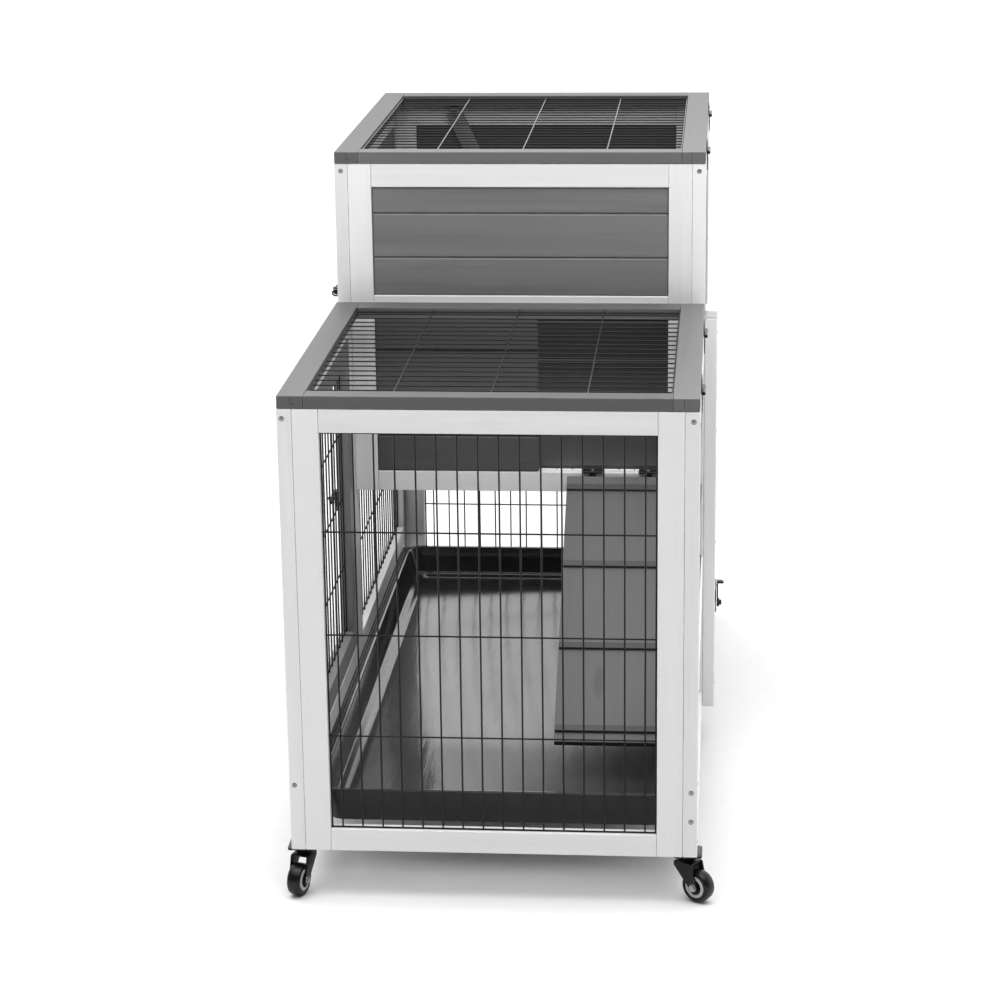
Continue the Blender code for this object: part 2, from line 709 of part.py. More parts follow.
def ramp():
    """The sloping board with its four cleats, hung by two hinges from the doorway's sill."""
    along = (-math.cos(RAMP_SLOPE), -math.sin(RAMP_SLOPE))
    outward = (-math.sin(RAMP_SLOPE), math.cos(RAMP_SLOPE))

    def at(distance, height):
        return tuple(RAMP_HEAD[i] + along[i] * distance + outward[i] * height for i in range(2))

    outline = [at(0.0, -RAMP_THICK), at(0.0, 0.0)]
    for share in CLEATS_AT:
        middle = share * RAMP_LENGTH
        start, end = middle - CLEAT_WIDTH / 2, middle + CLEAT_WIDTH / 2
        outline += [at(start, 0.0), at(start, CLEAT_HEIGHT), at(end, CLEAT_HEIGHT), at(end, 0.0)]
    outline += [at(RAMP_LENGTH, 0.0), at(RAMP_LENGTH, -RAMP_THICK)]
    axis = pivot("ramp_axis", (sum(RAMP_X) / 2, *RAMP_AXIS))
    sheet("ramp", "side", [outline], *RAMP_X, "grey_wood", axis)

    for side, middle in (("left", 0.098), ("right", 0.176)):
        leaf = box(
            "ramp_hinge_" + side, (middle - 0.014, RAMP_AXIS[0] + 0.001, FLOOR_Z + GAP),
            (middle + 0.014, SEAM_Y + 0.015, FLOOR_Z + 0.0015), "black_steel",
        )
        barrel = rod(
            "ramp_hinge_barrel", (middle - 0.014, *RAMP_AXIS), (middle + 0.014, *RAMP_AXIS), 0.0018,
            "black_steel", sides=12,
        )
        combine(leaf, [barrel])


def lid_prop():
    """The wooden strip that swings up to hold the house lid open; it hangs on the far end's top rail."""
    radius = PROP_WIDTH / 2
    turns = 8
    outline = []
    for end, start_angle in ((0.0, 0.0), (PROP_LENGTH - PROP_WIDTH, math.pi)):
        for step in range(turns + 1):
            angle = start_angle + math.pi * step / turns
            outline.append((radius * math.cos(angle), radius * math.sin(angle) - end))
    turned = [
        (
            PROP_PIVOT[0] + x * math.cos(PROP_LEAN) - z * math.sin(PROP_LEAN),
            PROP_PIVOT[1] + x * math.sin(PROP_LEAN) + z * math.cos(PROP_LEAN),
        )
        for x, z in outline
    ]
    back_y = HALF_L - BOARD - 0.002
    axis = pivot("lid_prop_axis", (PROP_PIVOT[0], back_y, PROP_PIVOT[1]))
    sheet("lid_prop", "end", [turned], back_y - PROP_THICK, back_y, "grey_wood", axis)


# ---------------------------------------------------------------- casters
FORK_TOP_Z = 0.0545
FORK_HALF_GAP = WHEEL_WIDTH / 2 + 0.0012
FORK_PLATE = 0.002


def fork_mesh():
    """Crown, two legs and axle bolt of a caster, with the trail along +X and the axle along Y."""
    crown = rod("crown", (0, 0, FORK_TOP_Z - 0.0070), (0, 0, FORK_TOP_Z), 0.0168, "black_steel", sides=24)
    legs = []
    axle = (CASTER_TRAIL, WHEEL_RADIUS)
    foot_radius = 0.0062
    foot = [
        (
            axle[0] + foot_radius * math.cos(math.radians(angle)),
            axle[1] + foot_radius * math.sin(math.radians(angle)),
        )
        for angle in range(200, 381, 30)
    ]
    outline = [(-0.0125, FORK_TOP_Z - 0.0010), (-0.0135, 0.0440), *foot, (0.0150, 0.0430), (0.0125, FORK_TOP_Z - 0.0010)]
    for side in (-1, 1):
        inner, outer = sorted((side * FORK_HALF_GAP, side * (FORK_HALF_GAP + FORK_PLATE)))
        legs.append(solid(sheet("leg", "end", [outline], inner, outer, "black_steel")))
    bolt = rod(
        "axle_bolt", (axle[0], -0.0145, axle[1]), (axle[0], 0.0145, axle[1]), 0.0022, "black_steel", sides=12
    )
    nuts = [
        rod(
            "nut", (axle[0], side * 0.0113, axle[1]), (axle[0], side * 0.0145, axle[1]), 0.0045,
            "black_steel", sides=6,
        )
        for side in (-1, 1)
    ]
    return shape_of(combine(crown, [*legs, bolt, *nuts]))


def mount_plate_mesh():
    """Square top plate of a caster with its ball race below."""
    plate = box("plate", (-0.018, -0.018, BASE_Z - GAP - 0.0024), (0.018, 0.018, BASE_Z - GAP), "black_steel")
    race = rod(
        "race", (0, 0, FORK_TOP_Z + 0.0004), (0, 0, BASE_Z - 0.0020), 0.0145, "black_steel", sides=24
    )
    return shape_of(combine(plate, [race]))


def wheel(name, parent):
    """Tyre and hub in one, turned about the axle from half of a crowned section."""
    bore = 0.0024
    half = WHEEL_WIDTH / 2
    profile = [
        (bore, -half), (bore, half), (0.0085, half), (0.0095, half - 0.002), (0.0145, half - 0.002),
        (0.0155, half), (0.0180, half - 0.0004), (0.0199, half - 0.0030), (WHEEL_RADIUS, 0.0),
        (0.0199, -half + 0.0030), (0.0180, -half + 0.0004), (0.0155, -half), (0.0145, -half + 0.002),
        (0.0095, -half + 0.002), (0.0085, -half),
    ]
    mesh = bpy.data.meshes.new(name)
    edges = [(i, (i + 1) % len(profile)) for i in range(len(profile))]
    mesh.from_pydata([(x, 0.0, z) for x, z in profile], edges, [])
    obj = bpy.data.objects.new(name, mesh)
    turn = obj.modifiers.new("turn", "SCREW")
    turn.steps = turn.render_steps = 20
    turn.use_merge_vertices = True
    turn.merge_threshold = 0.00001
    turn.use_smooth_shade = True
    obj.rotation_euler = (math.radians(90), 0.0, 0.0)
    hutch.objects.link(obj)
    obj.parent = parent
    finish(obj, "black_rubber")


def casters():
    fork_shape, plate_shape = fork_mesh(), mount_plate_mesh()
    for corner, heading in CASTER_HEADINGS.items():
        end, side = corner.split("_")
        x = CASTER_X if side == "back" else -CASTER_X
        y = (HALF_L - CASTER_INSET) * (1 if end == "far" else -1)
        plate = bpy.data.objects.new("caster_plate_" + corner, plate_shape.copy())
        place(plate, (x, y, 0.0))
        finish(plate, "black_steel")
        swivel = pivot("caster_swivel_" + corner, (x, y, 0.0))
        swivel.rotation_euler = (0.0, 0.0, math.radians(heading))
        fork = bpy.data.objects.new("caster_fork_" + corner, fork_shape.copy())
        hutch.objects.link(fork)
        fork.parent = swivel
        finish(fork, "black_steel")
        axle = pivot("caster_axle_" + corner, (CASTER_TRAIL, 0.0, WHEEL_RADIUS))
        axle.parent = swivel
        wheel("caster_wheel_" + corner, axle)


end_panels()
side_panels()
inner_boards()
lids()
front_doors()
access_door()
tray()
ramp()
lid_prop()
casters()
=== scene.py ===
"""Looks of the rolling rabbit hutch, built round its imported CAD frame. Metres, +Z up."""

import math
import random

import bmesh
import bpy
from mathutils import Matrix, Vector


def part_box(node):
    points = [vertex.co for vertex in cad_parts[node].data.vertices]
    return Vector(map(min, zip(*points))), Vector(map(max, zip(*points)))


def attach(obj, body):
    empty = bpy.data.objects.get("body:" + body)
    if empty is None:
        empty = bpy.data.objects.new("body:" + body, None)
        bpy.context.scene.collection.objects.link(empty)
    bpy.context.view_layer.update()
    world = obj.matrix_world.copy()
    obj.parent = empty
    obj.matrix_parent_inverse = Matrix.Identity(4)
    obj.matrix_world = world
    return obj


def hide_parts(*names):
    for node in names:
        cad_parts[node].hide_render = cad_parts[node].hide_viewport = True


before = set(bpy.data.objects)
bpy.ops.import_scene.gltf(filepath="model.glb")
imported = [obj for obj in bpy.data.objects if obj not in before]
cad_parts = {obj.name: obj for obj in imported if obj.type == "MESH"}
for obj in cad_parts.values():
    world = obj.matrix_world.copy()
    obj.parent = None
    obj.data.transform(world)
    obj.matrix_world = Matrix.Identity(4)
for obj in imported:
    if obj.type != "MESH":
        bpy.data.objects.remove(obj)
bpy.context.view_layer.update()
rng = random.Random(11)

X, Y, Z = 0, 1, 2
GAP = 0.0003                # clearance between a panel and what it sits in
HAIR = 0.00012              # half the dark line where two boards of a frame meet
WIRE_RADIUS, LID_WIRE_RADIUS = 0.0011, 0.0009
MESH_PITCH = 0.025          # between the close wires of a welded mesh


# ---------------------------------------------------------------- materials
class Nodes:
    """A material's node tree, with short calls for the nodes used here."""

    def __init__(self, name):
        self.material = bpy.data.materials.new(name)
        self.material.use_nodes = True
        self.tree = self.material.node_tree
        self.shader = self.tree.nodes["Principled BSDF"]

    def node(self, kind, **settings):
        made = self.tree.nodes.new(kind)
        for key, value in settings.items():
            setattr(made, key, value)
        return made

    def link(self, out, into):
        if isinstance(out, (int, float)):
            into.default_value = out
        else:
            self.tree.links.new(out, into)

    def math(self, operation, first, second):
        made = self.node("ShaderNodeMath", operation=operation)
        self.link(first, made.inputs[0])
        self.link(second, made.inputs[1])
        return made.outputs[0]

    def times(self, first, second):
        return self.math("MULTIPLY", first, second)

    def plus(self, first, second):
        return self.math("ADD", first, second)

    def coordinates(self, source="UV", scale=(1, 1, 1)):
        made = self.node("ShaderNodeTexCoord")
        mapping = self.node("ShaderNodeMapping")
        mapping.inputs["Scale"].default_value = scale
        self.link(made.outputs[source], mapping.inputs["Vector"])
        return mapping.outputs["Vector"]

    def noise(self, vector, scale, detail=4.0, roughness=0.55, distortion=0.0):
        made = self.node("ShaderNodeTexNoise")
        self.link(vector, made.inputs["Vector"])
        made.inputs["Scale"].default_value = scale
        made.inputs["Detail"].default_value = detail
        made.inputs["Roughness"].default_value = roughness
        made.inputs["Distortion"].default_value = distortion
        return made.outputs["Fac"]

    def attribute(self, name):
        return self.node("ShaderNodeAttribute", attribute_name=name).outputs["Fac"]

    def spread(self, value, low, high, to_low=0.0, to_high=1.0):
        made = self.node("ShaderNodeMapRange", interpolation_type="SMOOTHSTEP")
        self.link(value, made.inputs["Value"])
        for key, number in (("From Min", low), ("From Max", high), ("To Min", to_low), ("To Max", to_high)):
            made.inputs[key].default_value = number
        return made.outputs["Result"]

    def mix(self, factor, first, second):
        made = self.node("ShaderNodeMix", data_type="RGBA")
        self.link(factor, made.inputs["Factor"])
        for value, socket in ((first, made.inputs[6]), (second, made.inputs[7])):
            if isinstance(value, tuple):
                socket.default_value = (*value, 1.0)
            else:
                self.link(value, socket)
        return made.outputs[2]

    def bump(self, height, distance, strength=1.0):
        made = self.node("ShaderNodeBump")
        made.inputs["Strength"].default_value = strength
        made.inputs["Distance"].default_value = distance
        self.link(height, made.inputs["Height"])
        self.link(made.outputs["Normal"], self.shader.inputs["Normal"])


def grey(value, warmth=0.0):
    return (value * (1 + warmth), value, value * (1 - warmth))


def painted_wood(name, light, dark, knot=0.3, worn=0.15, relief=0.00035, roughness=0.5):
    """Thin paint over softwood: streaks along the grain, faint knots, and rubbed edges."""
    m = Nodes(name)
    grain_at = m.coordinates(scale=(2.6, 62, 1))
    grain = m.noise(grain_at, 1.0, 6.0, 0.62, 0.5)
    broad = m.noise(m.coordinates(scale=(1.1, 11, 1)), 1.0, 3.0, 0.5, 0.8)
    fibre = m.noise(m.coordinates(scale=(14, 520, 1)), 1.0, 3.0, 0.6)
    warp = m.noise(m.coordinates(scale=(9, 22, 1)), 1.0, 2.0)

    knots = m.node("ShaderNodeTexVoronoi", feature="F1")
    m.link(m.coordinates(scale=(3.1, 10.5, 1)), knots.inputs["Vector"])
    knots.inputs["Scale"].default_value = 1.0
    ring = m.plus(knots.outputs["Distance"], m.times(warp, 0.10))
    knot_share = m.times(m.spread(ring, 0.075, 0.16, 1.0, 0.0), knot)

    tone = m.times(m.attribute("tone"), 0.34)
    total = m.plus(m.times(grain, 0.52), m.times(broad, 0.38))
    share = m.spread(m.plus(total, tone), 0.36, 0.80)
    colour = m.mix(share, dark, light)
    colour = m.mix(knot_share, colour, tuple(c * 0.42 for c in dark))
    end_share = m.times(m.attribute("end"), 0.30)
    colour = m.mix(end_share, colour, dark)
    rub = m.spread(m.noise(m.coordinates("Object"), 55, 4.0), 0.42, 0.62)
    edge = m.times(m.times(m.attribute("edge"), rub), worn)
    pale = tuple(min(0.9, c * 1.35 + 0.02) for c in light)
    colour = m.mix(edge, colour, pale)
    m.link(colour, m.shader.inputs["Base Color"])
    rough = m.plus(m.times(grain, 0.18), roughness - 0.08)
    m.link(rough, m.shader.inputs["Roughness"])
    height = m.plus(m.times(grain, 0.7), m.times(fibre, 0.35))
    m.bump(m.math("SUBTRACT", height, m.times(knot_share, 0.5)), relief)
    return m.material


def speckled(name, colour, second, scale, roughness, relief=0.0001, metallic=0.0, spread=0.12, shine=0.5):
    """A paint, plastic or metal with small changes in colour, gloss and height."""
    m = Nodes(name)
    at = m.coordinates("Object")
    fine = m.noise(at, scale, 5.0, 0.6)
    broad = m.noise(at, scale * 0.09, 3.0)
    m.link(m.mix(m.spread(broad, 0.35, 0.68), colour, second), m.shader.inputs["Base Color"])
    m.link(m.plus(m.times(fine, spread), roughness - spread / 2), m.shader.inputs["Roughness"])
    m.shader.inputs["Metallic"].default_value = metallic
    m.shader.inputs["Specular IOR Level"].default_value = shine
    m.bump(fine, relief)
    return m.material


def tray_material():
    """Moulded plastic: a fine pebble, flow streaks and a few scuffs along it, and less gloss towards the run
    end, as painted shade.
    """
    m = Nodes("tray_plastic")
    at = m.coordinates("Object")
    pebble = m.noise(at, 900, 2.0)
    flow = m.noise(m.coordinates("Object", (14, 2.5, 14)), 1.0, 4.0, 0.6, 0.6)
    scuff = m.noise(m.coordinates("Object", (120, 5, 60)), 1.0, 3.0, 0.7)
    marks = m.spread(scuff, 0.62, 0.78)
    base = m.mix(m.spread(flow, 0.3, 0.7), grey(0.028), grey(0.036))
    m.link(m.mix(m.times(marks, 0.10), base, grey(0.12)), m.shader.inputs["Base Color"])
    rough = m.plus(m.times(flow, 0.12), m.times(marks, 0.06))
    m.link(m.plus(rough, 0.07), m.shader.inputs["Roughness"])
    # gloss falls towards the run end: painted shade, standing in for the darker reflections on the shaded
    # near floor
    place = m.node("ShaderNodeSeparateXYZ")
    m.link(at, place.inputs[0])
    m.link(m.spread(place.outputs["Y"], -0.27, -0.17, 0.18, 0.75), m.shader.inputs["Specular IOR Level"])
    m.bump(m.plus(m.times(pebble, 0.02), m.times(flow, 1.0)), 0.00070)
    return m.material


WHITE = painted_wood("white_paint", grey(0.80), grey(0.69), knot=0.10, worn=0.5, relief=0.00022)
LID_GREY = painted_wood("lid_grey_paint", grey(0.125), grey(0.078), knot=0.28, worn=0.30)
SLATE = painted_wood("slate_paint", grey(0.178), grey(0.105), knot=0.30, worn=0.22)
# a darker copy of the slate paint: painted shade for the stair wall and the inside faces of the house walls
INNER_SHADE = painted_wood("inner_wall_painted_shade", grey(0.080), grey(0.052), knot=0.30, worn=0.22)
RAMP_GREY = painted_wood("ramp_paint", grey(0.093), grey(0.055), knot=0.45, worn=0.22)
CLEAT = painted_wood("cleat_dark_paint", grey(0.040), grey(0.028), knot=0.05, worn=0.15)
PLY = painted_wood("floor_board_paint", grey(0.075), grey(0.050), knot=0.15, worn=0.9)
WIRE = speckled("black_wire", grey(0.004), grey(0.006), 400, 0.30, 0.00006, shine=0.22)
# the same black coated wire in a paler tone with more shine: a painted highlight for the lids' lengthwise
# wires
LID_WIRE_SHEEN = speckled("lid_wire_painted_sheen", grey(0.006), grey(0.012), 400, 0.30, 0.00006, shine=0.6)
STEEL = speckled("black_steel", grey(0.003), grey(0.006), 260, 0.30, 0.00005, shine=0.25)
ZINC = speckled("zinc", grey(0.44), grey(0.32), 300, 0.32, 0.00004, 0.8)
RUBBER = speckled("tyre_rubber", grey(0.003), grey(0.006), 500, 0.30, 0.00008, shine=0.28)
HUB = speckled("hub_grey", grey(0.46), grey(0.38), 300, 0.35, 0.00005)
PLUG = speckled("wood_plug", grey(0.34), grey(0.24), 300, 0.6, 0.0001)
# black standing in for the shade in screw slots, countersink gaps and joint seams: painted shade
RECESS_SHADE = speckled("recess_painted_shade", grey(0.01), grey(0.015), 300, 0.6)
TRAY = tray_material()


# ---------------------------------------------------------------- geometry
def placed(name, data):
    """A new object in the scene."""
    obj = bpy.data.objects.new(name, data)
    bpy.context.scene.collection.objects.link(obj)
    return obj


class Piece:
    """Shapes gathered into one object. Its UV map runs along the grain, with each board at its own place."""

    def __init__(self, *materials):
        self.materials = materials
        self.points, self.faces, self.uvs = [], [], []
        self.values = {"tone": [], "edge": [], "end": []}
        self.slots, self.smooth = [], []

    def add(self, shape, turn=None, material=0, smooth=False, grain=None):
        """Take in a bmesh, turned into place. grain is the axis that its fibres follow before the turn."""
        shape.normal_update()
        shape.verts.index_update()
        start = len(self.points)
        offset = Vector((rng.uniform(0, 9), rng.uniform(0, 9)))
        tone = rng.random()
        for vert in shape.verts:
            self.points.append(turn @ vert.co if turn else vert.co.copy())
        for face in shape.faces:
            self.faces.append([start + vert.index for vert in face.verts])
            normal = [abs(n) for n in face.normal]
            facing = normal.index(max(normal))
            along = grain if grain not in (None, facing) else (facing + 1) % 3
            across = 3 - facing - along
            for vert in face.verts:
                self.uvs += [vert.co[along] + offset.x, vert.co[across] + offset.y + facing * 0.37]
            self.values["tone"].append(tone)
            self.values["edge"].append(float(max(normal) < 0.985))
            self.values["end"].append(float(grain == facing))
            self.slots.append(material(face.normal) if callable(material) else material)
            self.smooth.append(smooth)
        shape.free()
        return self

    def done(self, name, body, replaced=(), slot=None, sharp=38):
        mesh = bpy.data.meshes.new(name)
        mesh.from_pydata(self.points, [], self.faces)
        mesh.uv_layers.new(name="UVMap").data.foreach_set("uv", self.uvs)
        for key, values in self.values.items():
            mesh.attributes.new(key, "FLOAT", "FACE").data.foreach_set("value", values)
        for material in self.materials:
            mesh.materials.append(material)
        mesh.polygons.foreach_set("material_index", self.slots)
        mesh.polygons.foreach_set("use_smooth", self.smooth)
        if any(self.smooth):
            mesh.set_sharp_from_angle(angle=math.radians(sharp))
        obj = placed(name, mesh)
        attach(obj, body)
        if replaced:
            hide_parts(*replaced)
        return obj


def block(low, high, ease=0.0011, segments=2):
    """A box with eased edges."""
    shape = bmesh.new()
    size = [b - a for a, b in zip(low, high)]
    middle = [(a + b) / 2 for a, b in zip(low, high)]
    bmesh.ops.create_cube(shape, size=1.0)
    bmesh.ops.scale(shape, vec=size, verts=shape.verts)
    bmesh.ops.translate(shape, vec=middle, verts=shape.verts)
    ease = min(ease, min(size) * 0.45)
    bmesh.ops.bevel(shape, geom=shape.edges[:], offset=ease, segments=segments, profile=0.6, affect="EDGES")
    return shape


def prism(outline, low, high, ease=0.0):
    """An outline in X and Y, given a thickness along Z, with eased rims."""
    shape = bmesh.new()
    base = shape.faces.new([shape.verts.new((x, y, low)) for x, y in outline])
    made = bmesh.ops.extrude_face_region(shape, geom=[base])
    top = [v for v in made["geom"] if isinstance(v, bmesh.types.BMVert)]
    bmesh.ops.translate(shape, vec=(0, 0, high - low), verts=top)
    bmesh.ops.recalc_face_normals(shape, faces=shape.faces)
    if ease:
        rims = [e for e in shape.edges if abs(e.verts[0].co.z - e.verts[1].co.z) < 1e-9]
        bmesh.ops.bevel(shape, geom=rims, offset=ease, segments=2, profile=0.6, affect="EDGES")
    return shape


def lathe(profile, steps=40):
    """A closed section in radius and height, turned about Z."""
    shape = bmesh.new()
    rings = []
    for step in range(steps):
        angle = 2 * math.pi * step / steps
        rings.append([shape.verts.new((r * math.cos(angle), r * math.sin(angle), z)) for r, z in profile])
    count = len(profile)
    for step in range(steps):
        here, there = rings[step], rings[(step + 1) % steps]
        for i in range(count):
            j = (i + 1) % count
            shape.faces.new((here[i], there[i], there[j], here[j]))
    bmesh.ops.remove_doubles(shape, verts=shape.verts, dist=1e-7)
    bmesh.ops.recalc_face_normals(shape, faces=shape.faces)
    return shape


def rod(start, end, radius, sides=16, ease=0.0):
    """A round bar from start to end, with its rims eased."""
    start, end = Vector(start), Vector(end)
    length = (end - start).length
    profile = [(0, 0), (radius - ease, 0), (radius, ease)]
    profile += [(radius, length - ease), (radius - ease, length), (0, length)]
    if not ease:
        profile = [(0, 0), (radius, 0), (radius, length), (0, length)]
    shape = lathe(profile, sides)
    spin = (end - start).to_track_quat("Z", "Y").to_matrix().to_4x4()
    shape.transform(Matrix.Translation(start) @ spin)
    return shape


def bead(at, radii, subdivisions=2):
    """A knob or lump: a sphere drawn out to three radii."""
    shape = bmesh.new()
    bmesh.ops.create_icosphere(shape, subdivisions=subdivisions, radius=1.0)
    bmesh.ops.scale(shape, vec=radii, verts=shape.verts)
    bmesh.ops.translate(shape, vec=at, verts=shape.verts)
    return shape


def strand(start, end, radius, sides=8, wander=0.00012, runs=6):
    """A drawn wire that isn't perfectly straight."""
    shape = bmesh.new()
    start, end = Vector(start), Vector(end)
    line = (end - start).normalized()
    side = line.orthogonal().normalized()
    other = line.cross(side)
    rings = []
    for run in range(runs + 1):
        middle = start.lerp(end, run / runs)
        if 0 < run < runs:
            middle += side * rng.uniform(-wander, wander) + other * rng.uniform(-wander, wander)
        turns = [2 * math.pi * i / sides for i in range(sides)]
        spokes = [side * math.cos(a) + other * math.sin(a) for a in turns]
        rings.append([shape.verts.new(middle + radius * spoke) for spoke in spokes])
    for low, high in zip(rings, rings[1:]):
        for i in range(sides):
            j = (i + 1) % sides
            shape.faces.new((low[i], low[j], high[j], high[i]))
    shape.faces.new(list(reversed(rings[0])))
    shape.faces.new(rings[-1])
    return shape


def arc(middle, radius, degrees):
    """Points round a middle, at the angles given."""
    angles = [math.radians(angle) for angle in degrees]
    return [(middle[0] + radius * math.cos(a), middle[1] + radius * math.sin(a)) for a in angles]


def rounded(half_x, half_y, radius, turns=6):
    """Points round a rectangle with round corners."""
    points = []
    for corner, (sx, sy) in enumerate(((1, 1), (-1, 1), (-1, -1), (1, -1))):
        middle = (sx * (half_x - radius), sy * (half_y - radius))
        points += arc(middle, radius, [90 * (corner + step / turns) for step in range(turns + 1)])
    return points


def facing(at, normal):
    """A matrix that stands local Z along a normal, at a point."""
    return Matrix.Translation(at) @ Vector(normal).to_track_quat("Z", "Y").to_matrix().to_4x4()


def turned(degrees, axis):
    """A matrix that turns about an axis through the origin."""
    return Matrix.Rotation(math.radians(degrees), 4, axis)


SCREWS = (ZINC, RECESS_SHADE)


def screw_head(piece, at, normal, radius, rise, metal=1, dark=2):
    """A countersunk cross-head screw, its rim just proud of the surface; the rim ring and the cross are
    black, painted shade of the countersink and the slots.
    """
    turn = facing(at, normal) @ Matrix.Rotation(rng.uniform(0, 3), 4, "Z")
    dome = [(0, -0.001), (radius, -0.001), (radius, rise * 0.3), (radius * 0.82, rise), (0, rise * 1.15)]
    piece.add(lathe(dome, 20), turn, metal, smooth=True)
    rim = [(radius, -0.001), (radius * 1.18, -0.001), (radius * 1.18, 0.00004), (radius, 0.00004)]
    piece.add(lathe(rim, 20), turn, dark)
    arm, half = radius * 0.58, radius * 0.13
    top = rise * 1.15
    piece.add(block((-arm, -half, 0), (arm, half, top + 0.00006), 0.00002, 1), turn, dark)
    piece.add(block((-half, -arm, 0), (half, arm, top + 0.00007), 0.00002, 1), turn, dark)


# ---------------------------------------------------------------- boards
ACROSS = {"end": (X, Z, Y), "side": (Y, Z, X), "flat": (X, Y, Z)}


def boards(name, body, plane, thick, layout, material, slot, ease=0.0011):
    """A panel of boards in one plane. Each is (low u, high u, low v, high v), and it runs the longer way."""
    u, v, t = ACROSS[plane]
    piece = Piece(material)
    for low_u, high_u, low_v, high_v in layout:
        low, high = [0.0] * 3, [0.0] * 3
        low[u], high[u] = low_u, high_u
        low[v], high[v] = low_v, high_v
        low[t], high[t] = thick
        grain = u if high_u - low_u > high_v - low_v else v
        piece.add(block(low, high, ease), grain=grain)
    return piece.done(name + "_boards", body, [name], slot)


def framed(node, stile, cross_rails):
    """The plane, thickness and boards of a frame that fills a node's box.

    Its stiles are full height. stile gives their widths, and cross_rails the heights of the rails between.
    """
    low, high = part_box(node)
    plane = min(range(3), key=lambda i: high[i] - low[i])
    u = X if plane == Y else Y
    stiles = [
        (low[u], low[u] + stile[0] - HAIR, low.z, high.z),
        (high[u] - stile[1] + HAIR, high[u], low.z, high.z),
    ]
    rails = [(low[u] + stile[0] + HAIR, high[u] - stile[1] - HAIR, a, b) for a, b in cross_rails]
    return ("side" if plane == X else "end"), (low[plane], high[plane]), stiles + rails


BASE_RAIL = (0.062, 0.0905)       # heights of the bottom rails
SLOT = 0.1245                     # top of the gap that the tray slides out through
FRONT_SILL = (SLOT, 0.152)
SILL = (0.372, 0.404)             # the rails level with the house floor
RUN_HEAD, HOUSE_HEAD = (0.599, 0.628), (0.800, 0.832)
POST = 0.032                      # width of the posts
SIDE, END_FACE = 0.252, 0.5625    # the outer faces of the body, from its middle
SEAM_Y = -0.0175                  # where the run meets the house


def fixed_frames():
    """The white frames, which the heights of their rails tell apart."""
    side_stile = POST - GAP
    layouts = {
        "near_end_frame": [BASE_RAIL, RUN_HEAD],
        "far_end_frame": [BASE_RAIL, SILL, HOUSE_HEAD],
        "house_end_frame": [(0.372, 0.400), (0.620, 0.650), HOUSE_HEAD],
        "run_front_frame": [FRONT_SILL, RUN_HEAD],
        "house_front_frame": [FRONT_SILL, SILL, HOUSE_HEAD],
        "run_back_frame": [BASE_RAIL, (0.262, 0.290), RUN_HEAD],
        "house_back_frame": [BASE_RAIL, SILL, HOUSE_HEAD],
    }
    for node, rails in layouts.items():
        is_end = "end" in node
        near = side_stile if is_end else POST
        far = side_stile if is_end or node.startswith("run") else POST
        plane, thick, layout = framed(node, (near, far), rails)
        if node == "run_front_frame":      # the far post stops above the tray
            layout[1] = (*layout[1][:2], SLOT, layout[1][3])
        if node == "house_front_frame":    # and so does this panel's near post
            layout[0] = (*layout[0][:2], SLOT, layout[0][3])
        boards(node, "hutch", plane, thick, layout, WHITE, "white_wood")


def wood_block(node, body, grain, material, slot, ease=0.0012):
    low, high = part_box(node)
    Piece(material).add(block(low, high, ease), grain=grain).done(node + "_board", body, [node], slot)


def plain_boards():
    wood_block("seam_batten", "hutch", Z, WHITE, "white_wood", 0.0016)
    wood_block("seam_batten_cap", "hutch", Y, WHITE, "white_wood", 0.0016)
    wood_block("house_floor", "hutch", Y, PLY, "slate_wood", 0.0004)
    wood_block("front_base_rail", "hutch", Y, WHITE, "white_wood")
    wood_block("tray_slat_near", "hutch", X, WHITE, "white_wood")
    wood_block("tray_slat_far", "hutch", X, WHITE, "white_wood")


def lid_frame(node, body, side_rail=0.032, front_rail=0.028, back_rail=0.036):
    """Side rails run the whole length, and the two short rails sit between them."""
    low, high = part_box(node)
    inner = (low.x + side_rail + HAIR, high.x - side_rail - HAIR)
    layout = [
        (*inner, low.y, low.y + front_rail),
        (low.x, low.x + side_rail - HAIR, low.y, high.y),
        (high.x - side_rail + HAIR, high.x, low.y, high.y),
        (*inner, high.y - back_rail, high.y),
    ]
    boards(node, body, "flat", (low.z, high.z), layout, LID_GREY, "grey_wood")

    slits = Piece(RECESS_SHADE)      # the lap joints show as dark lines on the end faces, thin black strips of painted shade
    half, proud = 0.0003, 0.00004
    for y, out in ((low.y, -proud), (high.y, proud)):
        near, far = sorted((y + out, y - out * 40))
        for x, depth, foot in ((low.x + 0.0165, 0.0100, 0.0048), (high.x - 0.0185, 0.0130, 0.0)):
            top, bottom = high.z - 0.0012, high.z - depth
            slits.add(block((x - half, near, bottom), (x + half, far, top), 0.00002, 1))
            if foot:
                slits.add(block((x - half, near, bottom - 2 * half), (x + foot, far, bottom), 0.00002, 1))
    slits.done(node + "_joint_slits", body, slot="grey_wood")


def door_frame(node, body, rail=0.030):
    low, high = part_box(node)
    rails = [(low.z, low.z + rail), (high.z - rail, high.z)]
    plane, thick, layout = framed(node, (rail, rail), rails)
    boards(node, body, plane, thick, layout, SLATE, "grey_wood")


PLANK_GAP, PLANK_CHAMFER = 0.0004, 0.0018
TONGUE, TONGUE_SHOULDER = 0.004, 0.0045      # its height past a joint, and its depth behind each face


